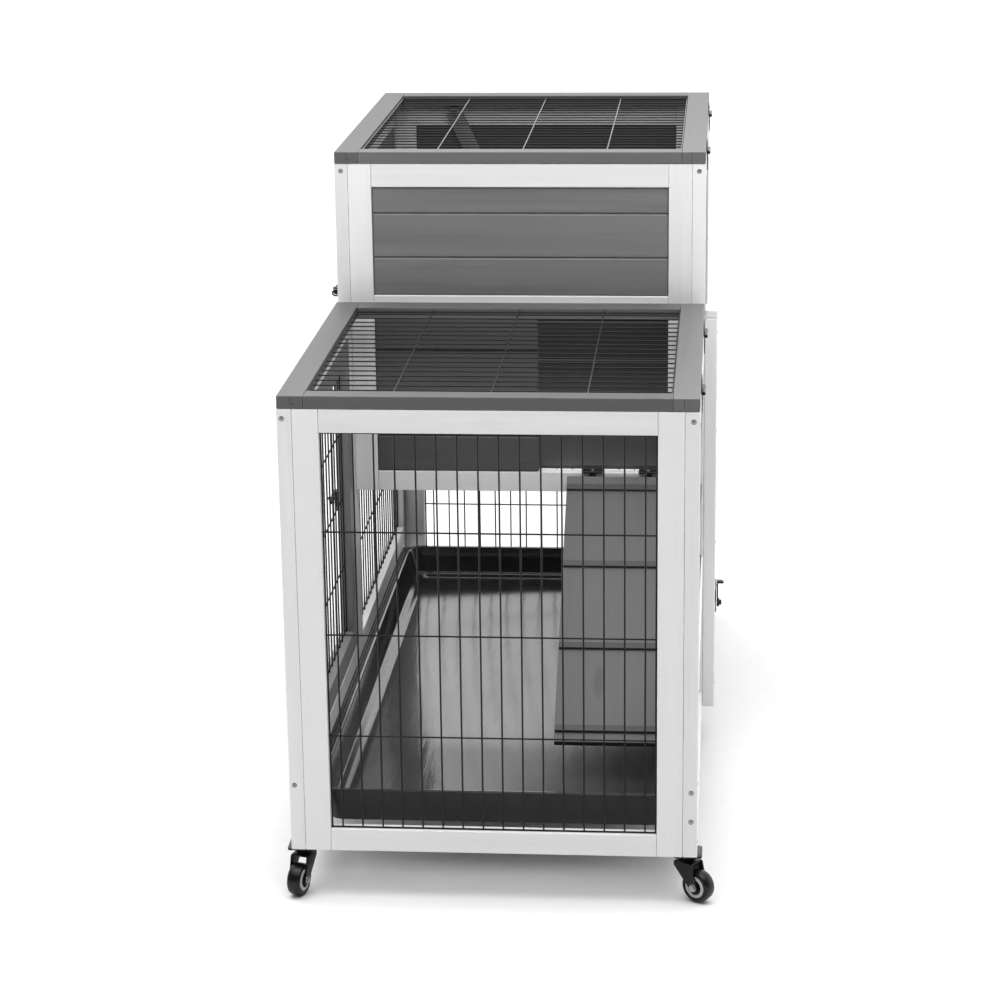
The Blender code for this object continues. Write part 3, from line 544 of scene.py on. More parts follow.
def plank_wall(node, body, joints, material, slot, inner=None):
    """Level tongue-and-groove boards with a V between each pair.

    joints are the heights of the Vs, and inner is the side, -1 or 1, that gets the darker paint standing in
    for the shade inside.
    """
    low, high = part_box(node)
    plane = min(range(3), key=lambda i: high[i] - low[i])
    along = X if plane == Y else Y
    edges = [low.z, *joints, high.z]
    piece = Piece(material, INNER_SHADE)

    def side(normal):
        return int(inner is not None and normal[plane] * inner > 0.5)

    for below, above in zip(edges, edges[1:]):
        start, end = low.copy(), high.copy()
        start.z, end.z = below + PLANK_GAP, above - PLANK_GAP
        piece.add(block(start, end, PLANK_CHAMFER, 1), material=side, grain=along)
        tongue_low, tongue_high = low.copy(), high.copy()
        tongue_low.z = above - TONGUE
        tongue_high.z = above + (TONGUE if above < high.z else 0)
        tongue_low[plane] += TONGUE_SHOULDER
        tongue_high[plane] -= TONGUE_SHOULDER
        piece.add(block(tongue_low, tongue_high, 0.0002, 1), grain=along)
    piece.done(node + "_boards", body, [node], slot)


def joints_down(top, bottom, width):
    """Joints between boards of equal width, measured from the top."""
    count = int((top - bottom - 0.02) / width)
    return sorted(top - width * (i + 1) for i in range(count))


def panels_and_doors():
    fixed_frames()
    plain_boards()
    lid_frame("run_lid_frame", "run_lid")
    lid_frame("house_lid_frame", "house_lid")
    door_frame("run_door_frame", "run_door")
    door_frame("house_door_frame", "house_door")
    door_frame("access_door_frame", "access_door")
    high = joints_down(HOUSE_HEAD[0], SILL[1], 0.062)
    plank_wall("far_end_planks", "hutch", high, SLATE, "grey_wood", -1)
    plank_wall("house_back_planks", "hutch", high, SLATE, "grey_wood", -1)
    plank_wall("house_end_planks", "hutch", [0.7025, 0.7635], SLATE, "slate_wood")
    # the stair wall is all in the darker paint, as painted shade
    plank_wall("stair_wall_planks", "hutch", [0.451, 0.512, 0.573], INNER_SHADE, "grey_wood")
    plank_wall("run_back_board", "hutch", [0.148, 0.205], WHITE, "white_wood")
    for node, width in (("house_door_planks", 0.062), ("access_door_planks", 0.055)):
        low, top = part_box(node)
        body = node.replace("_planks", "")
        plank_wall(node, body, joints_down(top.z + GAP, low.z - GAP, width), SLATE, "slate_wood")


# ---------------------------------------------------------------- wire mesh
def spread_wires(low, high, middle, pitch=MESH_PITCH):
    """Places between low and high that are half a pitch, and then whole pitches, from the middle."""
    first = math.ceil((low - middle) / pitch - 0.5)
    last = math.floor((high - middle) / pitch - 0.5)
    return [middle + (i + 0.5) * pitch for i in range(first, last + 1)]


def welded_mesh(
    node, body, close_axis, wide, front=1, centred_on=None, radius=WIRE_RADIUS, crossing_sheen=WIRE
):
    """Two layers of round wire: close_axis is the axis along which wires are one pitch apart.

    wide are the places of the wires that cross them, front says which layer is outermost, and centred_on
    names the node whose middle the close wires are counted from.
    """
    low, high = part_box(node)
    thick = min(range(3), key=lambda i: high[i] - low[i])
    wide_axis = 3 - thick - close_axis
    middle = (low + high) / 2
    offset = front * radius * 0.93      # the layers sink a little into each other
    layer = {close_axis: middle[thick] - offset, wide_axis: middle[thick] + offset}
    close_middle = middle[close_axis]
    if centred_on:
        close_middle = sum(corner[close_axis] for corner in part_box(centred_on)) / 2
    close = spread_wires(low[close_axis] + 0.006, high[close_axis] - 0.006, close_middle)
    close = [low[close_axis] + radius, *close, high[close_axis] - radius]
    crossing = [low[wide_axis] + radius, *wide, high[wide_axis] - radius]
    piece = Piece(WIRE, crossing_sheen)
    for places, axis, other in ((close, close_axis, wide_axis), (crossing, wide_axis, close_axis)):
        for place in places:
            start, end = Vector(low), Vector(high)
            start[axis] = end[axis] = place
            start[thick] = end[thick] = layer[axis]
            start[other] = low[other] + 0.0002
            end[other] = high[other] - 0.0002
            piece.add(strand(start, end, radius), material=int(axis == wide_axis), smooth=True)
    for a in close:
        for b in crossing:
            at = [0.0, 0.0, 0.0]
            at[close_axis], at[wide_axis], at[thick] = a, b, middle[thick]
            lump = [0.0013, 0.0013, 0.0013]      # the coating is thicker where two wires are welded
            lump[thick] = 0.0009
            piece.add(bead(at, lump, 1), smooth=True)
    piece.done(node + "_wires", body, [node], "wire", sharp=60)


def wire_meshes():
    welded_mesh("near_end_mesh", "hutch", X, [0.212, 0.343, 0.474], front=-1)
    welded_mesh("far_end_mesh", "hutch", X, [0.184, 0.278])
    welded_mesh("house_front_mesh", "hutch", Y, [0.262], front=-1)
    welded_mesh("run_back_mesh", "hutch", Y, [0.393, 0.496])
    welded_mesh("run_door_mesh", "run_door", Y, [0.279, 0.375, 0.471], front=-1)
    lengthwise = [-0.115, 0.002, 0.117]
    for lid in ("run_lid", "house_lid"):
        middle_of = lid + "_frame"
        # the lids' lengthwise wires take the paler, shinier wire, a painted highlight
        welded_mesh(lid + "_mesh", lid, Y, lengthwise, 1, middle_of, LID_WIRE_RADIUS, LID_WIRE_SHEEN)


# ---------------------------------------------------------------- tray
def tray():
    """A moulded tray: leaning walls, round corners, a stepped foot, and a rim that is wider in front."""
    low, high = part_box("tray")
    half_x = high.x
    half_y = (high.y - low.y) / 2
    middle = Vector((0.0, (low.y + high.y) / 2, 0.0))
    floor = low.z + 0.003
    sections = [      # inset from the rim's edge, height, corner radius
        (0.030, low.z, 0.016), (0.0175, low.z + 0.0004, 0.018), (0.0165, low.z + 0.003, 0.019),
        (0.0060, high.z - 0.0062, 0.024), (0.0050, high.z - 0.0036, 0.025), (0.0004, high.z - 0.0030, 0.028),
        (0.0, high.z - 0.0024, 0.0285), (0.0, high.z - 0.0006, 0.0285), (0.0006, high.z, 0.028),
        (0.0062, high.z, 0.0235), (0.0080, high.z - 0.0012, 0.022), (0.0090, high.z - 0.004, 0.0215),
        (0.0175, floor + 0.0075, 0.018), (0.0200, floor + 0.0060, 0.017), (0.0250, floor + 0.0056, 0.015),
        (0.0275, floor + 0.0040, 0.014), (0.0300, floor + 0.0008, 0.013), (0.0335, floor, 0.012),
    ]
    shape = bmesh.new()
    rings = []
    for inset, height, radius in sections:
        points = rounded(half_x - inset, half_y - inset, radius, 7)
        rings.append([shape.verts.new((x, y, height)) for x, y in points])
    for below, above in zip(rings, rings[1:]):
        for i in range(len(below)):
            j = (i + 1) % len(below)
            shape.faces.new((below[i], below[j], above[j], above[i]))
    shape.faces.new(list(reversed(rings[0])))
    shape.faces.new(rings[-1])
    bmesh.ops.recalc_face_normals(shape, faces=shape.faces)
    turn = Matrix.Translation(middle)
    piece = Piece(TRAY).add(shape, turn, smooth=True)
    lip_x = (low.x - half_x) / 2
    lip_half = (-half_x - low.x) / 2
    lap = 0.002      # how far the wide rim reaches into the rest of it
    outline = [(lip_x + x, y) for x, y in rounded(lip_half + lap, half_y - 0.0085, 0.008)]
    lip = prism([(min(x, lap - half_x), y) for x, y in outline], high.z - 0.0023, high.z, 0.0006)
    piece.add(lip, turn, smooth=True)
    piece.done("tray_moulding", "tray", ["tray"], "tray_plastic", sharp=50)


# ---------------------------------------------------------------- ramp and prop
RAMP_SLOPE = math.radians(38.6)
RAMP_LENGTH, RAMP_THICK = 0.425, 0.010
RAMP_X = (0.063, 0.203)
RAMP_HEAD = Vector((0.0, SEAM_Y - 0.0075, 0.397))
RAMP_PIN_Y, RAMP_PIN_Z, RAMP_PIN_RADIUS = SEAM_Y - 0.0025, 0.401, 0.0018
CLEATS_AT = (0.047, 0.347, 0.655, 0.955)      # as shares of the ramp's length
CLEAT_HALF, CLEAT_HEIGHT = 0.0045, 0.004


def ramp_pin(piece, start, end):
    """A length of a ramp hinge's barrel, from one X to another."""
    low, high = (start, RAMP_PIN_Y, RAMP_PIN_Z), (end, RAMP_PIN_Y, RAMP_PIN_Z)
    piece.add(rod(low, high, RAMP_PIN_RADIUS, 16, 0.0002), smooth=True)


def ramp():
    """A grey board under four dark cleats, and the hinges at its top."""
    down = Vector((0.0, -math.cos(RAMP_SLOPE), -math.sin(RAMP_SLOPE)))
    up = Vector((0.0, -math.sin(RAMP_SLOPE), math.cos(RAMP_SLOPE)))
    turn = Matrix((Vector((1, 0, 0)), down, up)).transposed().to_4x4()
    turn = Matrix.Translation(RAMP_HEAD) @ turn
    piece = Piece(RAMP_GREY, CLEAT)
    piece.add(block((RAMP_X[0], 0, -RAMP_THICK), (RAMP_X[1], RAMP_LENGTH, 0), 0.0010), turn, grain=Y)
    for share in CLEATS_AT:
        at = share * RAMP_LENGTH
        low = (RAMP_X[0] + 0.0004, at - CLEAT_HALF, -0.0001)
        high = (RAMP_X[1] - 0.0004, at + CLEAT_HALF, CLEAT_HEIGHT)
        piece.add(block(low, high, 0.0008), turn, 1, grain=X)
    piece.done("ramp_board", "ramp", ["ramp"], "grey_wood")

    half, barrel = 0.014, 0.0048
    under = (-RAMP_THICK - 0.0011, -RAMP_THICK - 0.0001)
    for side, middle in (("left", 0.098), ("right", 0.176)):
        start, end = middle - half, middle + half
        fixed = Piece(STEEL, *SCREWS)
        fixed.add(block((start, RAMP_PIN_Y + 0.0008, 0.4003), (end, SEAM_Y + 0.0150, 0.4014), 0.0003))
        ramp_pin(fixed, start, middle - barrel)
        ramp_pin(fixed, middle + barrel, end)
        screw_head(fixed, (middle, SEAM_Y + 0.009, 0.4014), (0, 0, 1), 0.0024, 0.0004)
        name = "ramp_hinge_" + side
        fixed.done(name + "_leaf", "hutch", [name], "black_steel")
        moving = Piece(STEEL, *SCREWS)
        ramp_pin(moving, middle - 0.0045, middle + 0.0045)
        moving.add(block((start, 0.0005, under[0]), (end, 0.0120, under[1]), 0.0003), turn)
        foot = (turn @ Vector((middle, 0.0005, under[0]))).z
        low = (middle - 0.0045, RAMP_PIN_Y + 0.0004, foot)
        high = (middle + 0.0045, RAMP_PIN_Y + 0.0014, RAMP_PIN_Z - 0.0008)
        moving.add(block(low, high, 0.0002))
        moving.done(name + "_swing_leaf", "ramp", slot="black_steel")


def lid_prop():
    """A strip with round ends, hung by one screw from the far end's top rail."""
    low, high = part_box("lid_prop")
    lean = 26
    radius = 0.012
    length = 0.240 - 2 * radius      # between the middles of its round ends
    outline = arc((0, 0), radius, range(0, 181, 15)) + arc((0, -length), radius, range(180, 361, 15))
    pivot = Vector((-0.141, high.y, 0.8185))
    turn = Matrix.Translation(pivot) @ turned(-lean, "Y") @ turned(90, "X")
    piece = Piece(SLATE, *SCREWS)
    piece.add(prism(outline, 0.0, high.y - low.y, 0.0010), turn, grain=Y)
    screw_head(piece, (pivot.x, low.y, pivot.z), (0, -1, 0), 0.0042, 0.0012)
    piece.done("lid_prop_strip", "lid_prop", ["lid_prop"], "grey_wood")


# ---------------------------------------------------------------- casters
HEADINGS = {"near_front": -106.0, "near_back": -36.9, "far_front": 172.0, "far_back": 65.7}
CASTER_X, CASTER_Y = 0.240, 0.5415
TRAIL, WHEEL_RADIUS, WHEEL_WIDTH = 0.017, 0.0205, 0.017


def caster_plate(corner, x, y):
    """Square top plate with four bolt heads below it, over a two-row ball race."""
    piece = Piece(STEEL, *SCREWS)
    turn = Matrix.Translation((x, y, 0))
    piece.add(prism(rounded(0.018, 0.018, 0.004), 0.0593, 0.0617, 0.0004), turn)
    race = [
        (0, 0.0549), (0.0104, 0.0549), (0.0118, 0.0553), (0.0123, 0.0562), (0.0118, 0.0571), (0.0108, 0.0576),
        (0.0118, 0.0580), (0.0123, 0.0588), (0.0120, 0.0595), (0, 0.0596),
    ]
    piece.add(lathe(race), turn, smooth=True)
    for sx in (-1, 1):
        for sy in (-1, 1):
            at = (x + sx * 0.0140, y + sy * 0.0140, 0.0593)
            bolt_head = [(0, 0), (0.0027, 0), (0.0024, 0.0010), (0, 0.0014)]
            piece.add(lathe(bolt_head, 6), facing(at, (0, 0, -1)), 1)
    name = "caster_plate_" + corner
    piece.done(name + "_pressing", "hutch", [name], "black_steel")


def caster_fork(corner, turn):
    """Pressed fork: a ringed crown, a bridge, two tapering legs, and a washer and nut on each."""
    piece = Piece(STEEL, *SCREWS)
    crown = [
        (0, 0.0481), (0.0096, 0.0481), (0.0110, 0.0486), (0.0115, 0.0497), (0.0113, 0.0508), (0.0104, 0.0516),
        (0.0110, 0.0522), (0.0114, 0.0532), (0.0108, 0.0541), (0.0098, 0.0545), (0, 0.0545),
    ]
    piece.add(lathe(crown), turn, smooth=True)
    bridge = Matrix.Translation((0.0006, 0, 0))
    piece.add(prism(rounded(0.0128, 0.0114, 0.0030), 0.0486, 0.0503, 0.0005), turn @ bridge)
    axle = (TRAIL, WHEEL_RADIUS)
    outline = [(-0.0112, 0.0503), (-0.0128, 0.0490), (-0.0130, 0.0440)]
    outline += arc(axle, 0.0062, range(195, 386, 19))
    outline += [(0.0168, 0.0400), (0.0148, 0.0490), (0.0132, 0.0503)]
    washer = [(0, 0), (0.0052, 0), (0.0050, 0.0006), (0, 0.0006)]
    nut = [(0, 0.0005), (0.0046, 0.0005), (0.0046, 0.0024), (0.0040, 0.0030), (0, 0.0030)]
    bolt_end = [(0, 0.0028), (0.0021, 0.0028), (0.0018, 0.0033), (0, 0.0034)]
    inner = WHEEL_WIDTH / 2 + 0.0012
    stand = turned(90, "X")
    for side in (-1, 1):
        leg = prism(outline, -0.001, 0.001, 0.0004)
        shift = Matrix.Translation((0, side * (inner + 0.001), 0))
        piece.add(leg, turn @ shift @ stand)
        outward = turned(-side * 90, "X")
        hub = Matrix.Translation((axle[0], side * (inner + 0.0020), axle[1])) @ outward
        for profile, steps in ((washer, 28), (nut, 6), (bolt_end, 20)):
            piece.add(lathe(profile, steps), turn @ hub, 1, smooth=steps > 6)
    name = "caster_fork_" + corner
    piece.done(name + "_pressing", name, [name], "black_steel")


def caster_wheel(corner, turn):
    """A moulded tyre with a crowned tread, a grey hub ring on each face and a capped boss."""
    h = WHEEL_WIDTH / 2
    half_tyre = [
        (0.0024, h - 0.0016), (0.0080, h - 0.0016), (0.0088, h - 0.0006), (0.0150, h - 0.0010),
        (0.0158, h - 0.0002), (0.0178, h), (0.0190, h - 0.0008), (0.0198, h - 0.0026),
        (0.0203, 0.0030), (WHEEL_RADIUS, 0.0008),
    ]
    tyre = [(radius, -height) for radius, height in half_tyre] + half_tyre[::-1]
    ring = [(0.0098, -0.0012), (0.0098, 0), (0.0106, 0.0004)]      # heights are from the wheel's face
    ring += [(0.0132, 0.0003), (0.0138, -0.0003), (0.0138, -0.0012)]
    cap = [(0.0026, -0.0018), (0.0026, 0.0003), (0.0066, 0.0002), (0.0074, -0.0018)]
    axle = Matrix.Translation((TRAIL, 0, WHEEL_RADIUS)) @ turned(90, "X")
    piece = Piece(RUBBER, HUB, STEEL)
    piece.add(lathe(tyre, 56), turn @ axle, smooth=True)
    for side in (-1, 1):
        for profile, steps, material in ((ring, 48, 1), (cap, 36, 2)):
            section = [(radius, side * (h + rise)) for radius, rise in profile]
            piece.add(lathe(section, steps), turn @ axle, material, smooth=True)
    name = "caster_wheel_" + corner
    piece.done(name + "_tyre", name, [name], "wheel_rubber", sharp=30)


def casters():
    for corner, heading in HEADINGS.items():
        end, side = corner.split("_")
        x = CASTER_X if side == "back" else -CASTER_X
        y = CASTER_Y if end == "far" else -CASTER_Y
        turn = Matrix.Translation((x, y, 0)) @ turned(heading, "Z")
        caster_plate(corner, x, y)
        caster_fork(corner, turn)
        caster_wheel(corner, turn)


# ---------------------------------------------------------------- hinges
PIN_X = 0.2548                                       # the hinge pins' distance from the body's middle
FIXED_SPANS = ((0.0, 0.19), (0.405, 0.595), (0.81, 1.0))      # the knuckles on the fixed leaf
SWING_SPANS = ((0.195, 0.40), (0.60, 0.805))                  # and on the other


def knuckles(piece, start, end, spans, radius=0.0022):
    """Short lengths of a hinge's barrel, as shares of the line from start to end."""
    start, end = Vector(start), Vector(end)
    for low, high in spans:
        piece.add(rod(start.lerp(end, low), start.lerp(end, high), radius, 20, 0.0002), smooth=True)


def lid_leaf(middle, pin_z, half, plate, web, spans, screw):
    """One leaf of a lid's hinge: a plate, and the web that joins it to its knuckles.

    plate and web are (low x, high x, low z, high z) and screw is (z, radius, rise). Heights are from the pin.
    """
    piece = Piece(STEEL, *SCREWS)
    for (low_x, high_x, low_z, high_z), ease in ((plate, 0.0004), (web, 0.0002)):
        piece.add(block((low_x, middle - half, pin_z + low_z), (high_x, middle + half, pin_z + high_z), ease))
    knuckles(piece, (PIN_X, middle - 0.020, pin_z), (PIN_X, middle + 0.020, pin_z), spans)
    height, radius, rise = screw
    for dy in (-0.013, 0.013):
        screw_head(piece, (plate[1], middle + dy, pin_z + height), (1, 0, 0), radius, rise)
    return piece


def lid_hinges():
    """Butt hinges on the back: one leaf on the panel and one on the lid's back edge."""
    fixed = (0.020, (0.2522, 0.2534, -0.024, -0.0012), (0.2524, PIN_X, -0.0022, -0.0012), FIXED_SPANS)
    swing = (0.0195, (0.2517, 0.2528, 0.0014, 0.0148), (0.2519, PIN_X, 0.0012, 0.0021), SWING_SPANS)
    for lid, pin_z, middles in (
        ("run", RUN_HEAD[1], (-0.4525, -0.1425)),
        ("house", HOUSE_HEAD[1], (0.0985, 0.4465)),
    ):
        for end, middle in zip(("near", "far"), middles):
            node = f"{lid}_lid_hinge_{end}"
            leaf = lid_leaf(middle, pin_z, *fixed, (-0.014, 0.0026, 0.0005))
            leaf.done(node + "_leaf", "hutch", [node], "black_steel")
            leaf = lid_leaf(middle, pin_z, *swing, (0.0085, 0.0024, 0.0004))
            leaf.done(node + "_swing_leaf", lid + "_lid", slot="black_steel")


def door_hinges():
    """Butt hinges: one leaf on the post and one on the door, on the outer faces."""
    doors = (
        ("run_door", -1, -0.5295, 1, (0.235, 0.515)),
        ("house_door", -1, 0.5295, -1, (0.468, 0.736)),
        ("access_door", 1, 0.5295, -1, (0.140, 0.322)),
    )
    for door, out, pin_y, toward, heights in doors:
        for end, z in zip(("low", "high"), heights):
            x = out * PIN_X
            faces = sorted((out * 0.2522, out * 0.2533))
            start, stop = (x, pin_y, z - 0.019), (x, pin_y, z + 0.019)
            for part, body, sign, spans in (
                ("post", "hutch", -toward, FIXED_SPANS),
                ("swing", door, toward, SWING_SPANS),
            ):
                piece = Piece(STEEL, *SCREWS)
                y = sorted((pin_y + sign * 0.0010, pin_y + sign * 0.0150))
                piece.add(block((faces[0], y[0], z - 0.019), (faces[1], y[1], z + 0.019), 0.0004))
                knuckles(piece, start, stop, spans)
                for dz in (-0.0115, 0.0115):
                    at = (out * 0.2533, pin_y + sign * 0.0090, z + dz)
                    screw_head(piece, at, (out, 0, 0), 0.0025, 0.0005)
                piece.done(f"{door}_hinge_{end}_{part}_leaf", body, slot="black_steel")


# ---------------------------------------------------------------- latches
BOLT_X = -0.2588


def strap(piece, y0, y1, z, inside=0.0034, outside=0.0048, foot=0.0085, base=-0.0052):
    """A strap bent over a bolt that lies along Y, standing out towards -X.

    inside and outside are its bend's radii, foot its half width, and base is measured from the bolt's middle.
    """
    top = base + 0.0011
    half_turn = range(0, 181, 18)
    outline = [(-foot, base), (-foot, top), (-outside, top), *arc((0, 0), outside, half_turn)[::-1]]
    outline += [(outside, top), (foot, top), (foot, base), (inside, base)]
    outline += [*arc((0, 0), inside, half_turn), (-inside, base)]
    turn = Matrix(((0, -1, 0, BOLT_X), (0, 0, 1, 0), (1, 0, 0, z), (0, 0, 0, 1)))
    piece.add(prism(outline, y0, y1, 0.0), turn, smooth=True)


def barrel_bolts():
    """On each front door a plate with two straps and the bolt, and a keeper on the post."""
    for door, toward, edge, z in (("run_door", 1, -0.0515, 0.375), ("house_door", -1, 0.0165, 0.648)):
        def along(a, b, edge=edge, toward=toward):
            return sorted((edge + toward * a, edge + toward * b))

        guide = Piece(STEEL, *SCREWS)
        y = along(-0.030, -0.002)
        guide.add(block((-0.2538, y[0], z - 0.0125), (-0.2523, y[1], z + 0.0125), 0.0005))
        for a, b in ((-0.0290, -0.0250), (-0.0065, -0.0025)):
            strap(guide, *along(a, b), z)
        for dy in (-0.0205, -0.0110):
            for dz in (-0.0095, 0.0095):
                screw_head(guide, (-0.2538, edge + toward * dy, z + dz), (-1, 0, 0), 0.0022, 0.0004)
        guide.done(door + "_bolt_guide_pressing", door, [door + "_bolt_guide"], "black_steel", sharp=50)

        bolt = Piece(STEEL)
        y = along(-0.041, -0.003)
        bolt.add(rod((BOLT_X, y[0], z), (BOLT_X, y[1], z), 0.0030, 24, 0.0008), smooth=True)
        knob_y = edge - toward * 0.0213
        bolt.add(rod((BOLT_X, knob_y, z), (BOLT_X - 0.0050, knob_y, z), 0.0016, 16), smooth=True)
        bolt.add(bead((BOLT_X - 0.0052, knob_y, z), (0.0023, 0.0027, 0.0027)), smooth=True)
        bolt.done(door + "_bolt_bar", door + "_bolt", [door + "_bolt"], "black_steel", sharp=50)

        keeper = Piece(STEEL, *SCREWS)
        y = along(0.0035, 0.0150)
        keeper.add(block((-0.2534, y[0], z - 0.0125), (-0.2522, y[1], z + 0.0125), 0.0004))
        strap(keeper, *along(0.0060, 0.0095), z)
        for dz in (-0.0098, 0.0098):
            screw_head(keeper, (-0.2534, edge + toward * 0.0125, z + dz), (-1, 0, 0), 0.0021, 0.0004)
        keeper.done(door + "_bolt_keeper", "hutch", slot="black_steel", sharp=50)


def access_latch():
    """Turn latch on the batten: a plate, an arm with a thumb tab on a stepped boss, and the door's catch."""
    turn_y, turn_z = 0.001, 0.207
    plate = Piece(STEEL, *SCREWS)
    stand = Matrix(((0, 0, 1, 0.2696), (1, 0, 0, turn_y), (0, 1, 0, 0.217), (0, 0, 0, 1)))
    plate.add(prism(rounded(0.009, 0.023, 0.004), 0.0, 0.0015, 0.0004), stand)
    for dy, z in ((-0.0060, 0.2345), (-0.0060, 0.1985)):
        screw_head(plate, (0.2711, turn_y + dy, z), (1, 0, 0), 0.0018, 0.0003)
    plate.done("access_latch_plate_pressing", "hutch", ["access_latch_plate"], "black_steel")

    arm = Piece(STEEL, *SCREWS)
    outline = [(x, y + 0.0155) for x, y in rounded(0.005, 0.0165, 0.0035)]
    stand = Matrix(((0, 0, 1, 0.2717), (1, 0, 0, turn_y), (0, 1, 0, turn_z), (0, 0, 0, 1)))
    arm.add(prism(outline, 0.0, 0.0020, 0.0004), stand)
    tab = [(0.0, 0.0290), (0.0, 0.0321), (0.0060, 0.0321)]
    tab += [(0.0086, 0.0314), (0.0097, 0.0301), (0.0090, 0.0290)]
    flat = Matrix(((1, 0, 0, 0.2717), (0, 0, 1, turn_y - 0.005), (0, 1, 0, turn_z), (0, 0, 0, 1)))
    arm.add(prism(tab, 0.0, 0.010, 0.0004), flat)
    boss = [
        (0, 0), (0.0058, 0), (0.0062, 0.0005), (0.0062, 0.0028), (0.0056, 0.0034), (0.0040, 0.0036),
        (0.0036, 0.0060), (0.0030, 0.0066), (0, 0.0067),
    ]
    arm.add(lathe(boss, 32), facing((0.2718, turn_y, turn_z), (1, 0, 0)), smooth=True)
    arm.done("access_latch_arm_pressing", "access_latch", ["access_latch_arm"], "black_steel")

    low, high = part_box("access_door_catch")
    catch = Piece(STEEL, *SCREWS)
    catch.add(block(low, (low.x + 0.0016, high.y, high.z), 0.0004))
    body_low, body_high = low + Vector((0, 0.003, 0.002)), high - Vector((0.0004, 0.005, 0.002))
    catch.add(block(body_low, body_high, 0.0012))
    face_low, face_high = (high.x - 0.0022, low.y + 0.0008, low.z + 0.001), high - Vector((0, 0.004, 0.001))
    catch.add(block(face_low, face_high, 0.0007))
    middle = (low + high) / 2
    screw_head(catch, (high.x, middle.y - 0.0016, middle.z), (1, 0, 0), 0.0026, -0.0001)
    catch.done("access_door_catch_block", "access_door", ["access_door_catch"], "black_steel")


# ---------------------------------------------------------------- screws and plugs
def frame_screws():
    """Screws through the posts into the end frames, on every face that shows them."""
    places = {
        "near_end": [
            ((x, -END_FACE, z), (0, -1, 0))
            for x, heights in ((-0.2455, (0.616, 0.148)), (0.2440, (0.616, 0.147, 0.109)))
            for z in heights
        ],
        "house_end": [((x, SEAM_Y, 0.822), (0, -1, 0)) for x in (-0.2430, 0.2430)],
        "far_end": [
            ((x, END_FACE, z), (0, 1, 0)) for x in (-0.2435, 0.2435) for z in (0.100, 0.388, 0.600, 0.816)
        ],
    }
    rows = {
        "front": (
            (-0.5535, (0.10, 0.34, 0.61)), (-0.0265, (0.16, 0.60)), (0.0, (0.16, 0.43, 0.80)),
            (0.5535, (0.10, 0.39, 0.62, 0.815)),
        ),
        "back": ((-0.5535, (0.08, 0.156, 0.276, 0.45, 0.61)), (0.5535, (0.08, 0.39, 0.62, 0.815))),
    }
    for name, posts in rows.items():
        out = -1 if name == "front" else 1
        places[name] = [((out * SIDE, y, z), (out, 0, 0)) for y, heights in posts for z in heights]
    for name, spots in places.items():
        piece = Piece(*SCREWS)
        for at, normal in spots:
            screw_head(piece, at, normal, 0.0028, 0.0004, 0, 1)
        piece.done("screws_" + name, "hutch", slot="black_steel")
    batten = Piece(*SCREWS)
    for z in (0.090, 0.30, 0.46, 0.600):
        screw_head(batten, (0.2693, -0.0105, z), (1, 0, 0), 0.0028, 0.0004, 0, 1)
    batten.done("screws_batten", "hutch", slot="black_steel")


def lid_plugs():
    """Filled screw holes in the tops of the lids' side rails."""
    for lid, near, far, top in (("run", -0.5625, -0.0325, 0.6440), ("house", -0.0185, 0.5635, 0.8480)):
        piece = Piece(PLUG)
        for x in (-0.2355, 0.2355):
            for y in (near + 0.014, near + 0.120, far - 0.130, far - 0.018):
                disc = [(0, -0.0006), (0.0023, -0.0006), (0.0023, -0.0001), (0.0021, 0.0), (0, 0.0)]
                piece.add(lathe(disc, 18), Matrix.Translation((x, y, top - 0.00002)), smooth=True)
        piece.done("plugs_" + lid + "_lid", lid + "_lid", slot="grey_wood")


# ---------------------------------------------------------------- stage
BACKDROP, ROOM, ZENITH = 1.80, 0.08, 0.20    # the sky's strength: low behind, low in front, and high
SUN = 0.90                                   # light on the floor, over pi
SOFTBOX = 2.9                                # radiance of the softbox
SOFTBOX_SIZE, SOFTBOX_AT, SOFTBOX_AIM = (1.8, 0.7), Vector((0.0, -0.64, 1.62)), Vector((0.0, -0.05, 0.72))


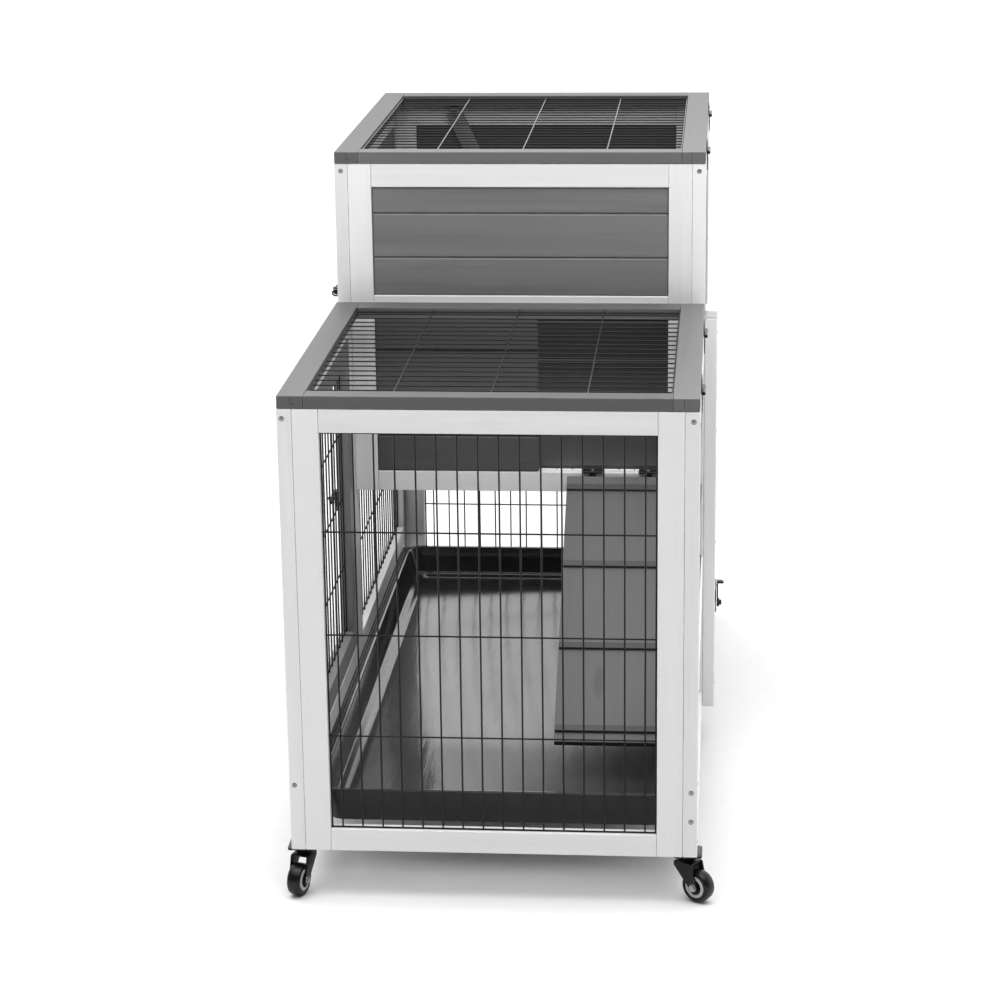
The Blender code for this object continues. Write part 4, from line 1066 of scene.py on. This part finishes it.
def stage():
    """A pale floor, a sky that is bright behind, a broad sun straight above and a softbox over the run."""
    shape = bmesh.new()
    bmesh.ops.create_grid(shape, x_segments=1, y_segments=1, size=60)
    mesh = bpy.data.meshes.new("floor")
    shape.to_mesh(mesh)
    shape.free()
    floor = placed("floor", mesh)
    m = Nodes("floor_paper")
    tint = m.mix(m.noise(m.coordinates("Object"), 40, 2.0), grey(0.84), grey(0.88))
    m.link(tint, m.shader.inputs["Base Color"])
    m.shader.inputs["Roughness"].default_value = 0.9
    mesh.materials.append(m.material)

    world = bpy.data.worlds.new("studio")
    bpy.context.scene.world = world
    world.use_nodes = True
    tree = world.node_tree
    sky = tree.nodes["Background"]
    sky.inputs["Color"].default_value = (1, 1, 1, 1)
    direction = tree.nodes.new("ShaderNodeTexCoord")
    split = tree.nodes.new("ShaderNodeSeparateXYZ")
    tree.links.new(direction.outputs["Generated"], split.inputs[0])

    def ramped(value, low, high, to_low, to_high):
        fall = tree.nodes.new("ShaderNodeMapRange")
        ends = {"Value": value, "From Min": low, "From Max": high, "To Min": to_low, "To Max": to_high}
        for key, end in ends.items():
            if isinstance(end, float):
                fall.inputs[key].default_value = end
            else:
                tree.links.new(end, fall.inputs[key])
        return fall.outputs["Result"]

    around = ramped(split.outputs["Y"], -0.35, 0.45, ROOM, BACKDROP)
    tree.links.new(ramped(split.outputs["Z"], 0.50, 0.80, around, ZENITH), sky.inputs["Strength"])

    sun = bpy.data.lights.new("soft_sun", "SUN")
    sun.energy = SUN * math.pi
    sun.angle = math.radians(80)
    placed("soft_sun", sun)

    box = bpy.data.lights.new("softbox", "AREA")
    box.shape = "RECTANGLE"
    box.size, box.size_y = SOFTBOX_SIZE
    box.energy = SOFTBOX * math.pi * box.size * box.size_y
    hung = placed("softbox", box)
    hung.location = SOFTBOX_AT
    hung.rotation_euler = (SOFTBOX_AIM - SOFTBOX_AT).to_track_quat("-Z", "Y").to_euler()


def camera():
    """Seen from the run's end, from above, a little to the right."""
    heading, pitch, roll = (math.radians(a) for a in (4.807, 16.226, -0.747))
    ahead = Vector((-math.sin(heading), math.cos(heading), 0))
    level = Vector((math.cos(heading), math.sin(heading), 0))
    forward = ahead * math.cos(pitch) - Vector((0, 0, math.sin(pitch)))
    upright = level.cross(forward)
    right = level * math.cos(roll) + upright * math.sin(roll)
    up = upright * math.cos(roll) - level * math.sin(roll)
    data = bpy.data.cameras.new("camera")
    data.lens, data.sensor_width = 99.3, 36
    obj = placed("camera", data)
    turn = Matrix((right, up, -forward)).transposed().to_4x4()
    obj.matrix_world = Matrix.Translation((0.2787, -3.708, 1.4369)) @ turn
    bpy.context.scene.camera = obj
    bpy.context.scene.view_settings.view_transform = "Standard"


panels_and_doors()
wire_meshes()
tray()
ramp()
lid_prop()
casters()
lid_hinges()
door_hinges()
barrel_bolts()
access_latch()
frame_screws()
lid_plugs()
stage()
camera()

bpy.context.view_layer.update()
